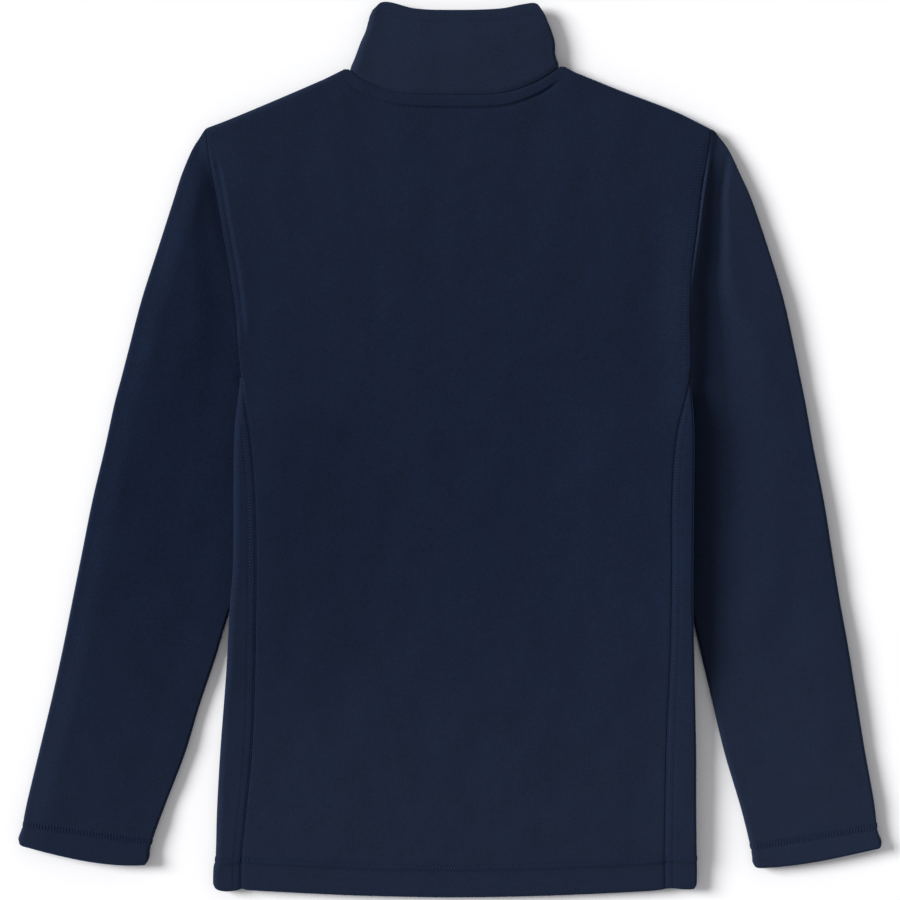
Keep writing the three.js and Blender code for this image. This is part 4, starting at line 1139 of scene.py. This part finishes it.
def thread_pieces(starts, ends, facing, radius):
    """Short rounded threads from starts to ends, their ends sunk in the cloth."""
    side = unit(np.cross(unit(ends - starts), facing))
    rings, faces = [], []
    for share, swell, lift in THREAD_RINGS:
        centre = mix(starts, ends, share) + facing * lift
        corners = []
        for corner in range(THREAD_SIDES):
            angle = 2 * math.pi * corner / THREAD_SIDES
            corners.append(
                centre + radius * swell * (math.cos(angle) * side + math.sin(angle) * facing)
            )
        rings.append(np.stack(corners, axis=1))
    points = np.stack(rings, axis=1).reshape(-1, 3)
    per_piece = len(THREAD_RINGS) * THREAD_SIDES
    pattern = []
    for ring in range(len(THREAD_RINGS) - 1):
        for corner in range(THREAD_SIDES):
            following = (corner + 1) % THREAD_SIDES
            low, high = ring * THREAD_SIDES, (ring + 1) * THREAD_SIDES
            pattern.append([low + corner, low + following, high + following, high + corner])
    pattern.append(list(range(THREAD_SIDES))[::-1])
    pattern.append(list(range(per_piece - THREAD_SIDES, per_piece)))
    for piece in range(len(starts)):
        faces += [[piece * per_piece + corner for corner in face] for face in pattern]
    return points, faces


def join(parts):
    points, faces, shift = [], [], 0
    for part_points, part_faces in parts:
        points.append(part_points)
        faces += [[corner + shift for corner in face] for face in part_faces]
        shift += len(part_points)
    return np.concatenate(points), faces


NEEDLE_THREAD = 0.3
LOOPER_THREAD = 0.28
LOOPER_LIFT = 0.3
STITCH_GAP = 0.25


def needle_row(line, facing):
    points, normals = spaced(line, facing, STITCH)
    starts, ends = points[:-1], points[1:]
    back_off = unit(ends - starts) * STITCH_GAP
    upward = unit(normals[:-1] + normals[1:])
    return thread_pieces(starts + back_off, ends - back_off, upward, NEEDLE_THREAD)


def sewn(name, points, faces):
    made = add_mesh(name, points, faces)
    finish_piece(made, THREAD)
    return made


def cover_stitch(name, grid, relief, edge, near, part=slice(None), width=COVER_WIDTH):
    """Two needle rows with looper threads across them, like a ladder."""
    first = line_at(grid, relief, edge, near, part)
    second = line_at(grid, relief, edge, near + width, part)
    low, low_facing = spaced(*first, STITCH)
    high, high_facing = (
        at_places(values, np.linspace(0, 1, len(values)), np.linspace(0, 1, len(low)))
        for values in spaced(*second, STITCH)
    )
    facing = unit(low_facing + high_facing)
    lift = facing * LOOPER_LIFT
    looper = thread_pieces(low + lift, high + lift, facing, LOOPER_THREAD)
    return sewn(name, *join([needle_row(*first), needle_row(*second), looper]))


def top_stitch(name, grid, relief, distance, part=slice(None)):
    """One needle row along a piece's top edge."""
    return sewn(name, *needle_row(*line_at(grid, relief, "top", distance, part)))


ZIP_COIL = {
    "pitch": 1.5, "foot": -345, "top": 311, "z": 4.55, "reach": 2.6, "overlap": 0.7, "radius": 0.62,
}


def build_zip_coil():
    """The two halves of the closed nylon coil, seen from under the garment."""
    coil = ZIP_COIL
    places = np.arange(coil["foot"], coil["top"], coil["pitch"])
    down = np.array([0, 0, -1])
    parts = []
    for sign, shift in ((-1, 0), (1, coil["pitch"] / 2)):
        near_x, near_z = CENTRE_X - sign * coil["overlap"], coil["z"]
        near = np.stack([0 * places + near_x, places + shift, 0 * places + near_z], axis=1)
        far = near + np.array([sign * (coil["reach"] + coil["overlap"]), 0, 0])
        parts.append(thread_pieces(near, far, down, coil["radius"]))
    made = add_mesh("zip_coil", *join(parts))
    finish_piece(made, NYLON)


back, back_grid, back_relief = build_back()
fronts = {side: build_front(side) for side in SIGN}
sides = {side: build_side(side) for side in SIGN}
sleeves = {side: build_sleeve(side) for side in SIGN}
collar, collar_grid, collar_relief = build_collar()
build_zip_coil()

# Stitching on each piece
ARMHOLE_STITCHED_Y = {"left": (118, 230), "right": (ARMPIT_Y + 2, 243)}
for side, ends_y in ARMHOLE_STITCHED_Y.items():
    beside = back_grid[:, 0 if side == "left" else -1, 1]
    armhole_rows = slice(*(int(np.argmax(beside > end_y)) for end_y in ends_y))
    cover_stitch(
        f"armhole_stitching_{side}", back_grid, back_relief, side, ARMHOLE_STITCH, armhole_rows,
        ARMHOLE_COVER_WIDTH[side],
    )
cover_stitch("hem_stitching_back", back_grid, back_relief, "foot", HEM_STITCH)
neck_x = back_grid[-1, :, 0]
neck_columns = np.flatnonzero(
    (neck_x > NECK_LEFT + NECK_STITCH_INSET) & (neck_x < NECK_RIGHT - NECK_STITCH_INSET)
)
neck_part = slice(int(neck_columns[0]), int(neck_columns[-1]))
top_stitch("neck_stitching", back_grid, back_relief, NECK_STITCH, neck_part)
for side, (_, grid, relief) in sides.items():
    hem_stitch = HEM_STITCH - hem_corner(grid[0, :, 0])
    cover_stitch(f"side_stitching_{side}", grid, relief, BACK_SEAM_EDGE[side], SIDE_STITCH)
    cover_stitch(f"hem_stitching_{side}", grid, relief, "foot", hem_stitch)
cuff_stitching = {
    side: cover_stitch(f"cuff_stitching_{side}", grid, relief, "top", cuff_stitch)
    for side, (_, grid, relief, cuff_stitch) in sleeves.items()
}
collar_stitching = top_stitch("collar_stitching", collar_grid, collar_relief, COLLAR_TOP_STITCH)

# The zip's own solids keep their form and get their real finish
for name, material in (
    ("zip_tape_left", TAPE_CLOTH), ("zip_tape_right", TAPE_CLOTH),
    ("zip_slider", GUNMETAL), ("zip_pull", GUNMETAL), ("zip_box", NYLON),
):
    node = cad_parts[name]
    node.data.materials.clear()
    node.data.materials.append(material)

# Studio: a white table, a large soft light low from the upper left, and white walls all round
TABLE = {"size": 8, "drop": 0.3 * MM}
bpy.ops.mesh.primitive_plane_add(size=TABLE["size"], location=(0, 0, -TABLE["drop"]))
table = bpy.context.object
table.name = "table"

# White laminate: an even, matte light ground
table.data.materials.append(plain_finish(
    "white_laminate", "#e6e6e7", (400, 1), (0.75, 0.85), {"Specular IOR Level": 0.1}
))

KEY = {"azimuth": 164, "elevation": 31, "spread": 26, "strength": 4.8}
azimuth, elevation = math.radians(KEY["azimuth"]), math.radians(KEY["elevation"])
toward_key = Vector((
    math.cos(azimuth) * math.cos(elevation),
    math.sin(azimuth) * math.cos(elevation),
    math.sin(elevation),
))
key_data = bpy.data.lights.new("key", "SUN")
key_data.angle = math.radians(KEY["spread"])
key_data.energy = KEY["strength"]
key = bpy.data.objects.new("key", key_data)
key.location = toward_key
key.rotation_euler = (-toward_key).to_track_quat("-Z", "Y").to_euler()
bpy.context.scene.collection.objects.link(key)

world = bpy.data.worlds.new("studio")
world.use_nodes = True
background = world.node_tree.nodes["Background"]
background.inputs["Color"].default_value = linear("#fdfdff")
background.inputs["Strength"].default_value = 0.5
bpy.context.scene.world = world
bpy.context.scene.view_settings.view_transform = "Standard"

# The camera looks straight down, with a long lens
CAMERA = {"height": 2.6, "sensor": 36, "view_width": 0.72, "level": 0.008, "x": 0.0004, "y": -0.0004}
camera_data = bpy.data.cameras.new("camera")
camera_data.sensor_width = CAMERA["sensor"]
camera_data.lens = CAMERA["sensor"] * (CAMERA["height"] - CAMERA["level"]) / CAMERA["view_width"]
camera = bpy.data.objects.new("camera", camera_data)
camera.location = (CAMERA["x"], CAMERA["y"], CAMERA["height"])
bpy.context.scene.collection.objects.link(camera)
bpy.context.scene.camera = camera

bpy.context.view_layer.update()
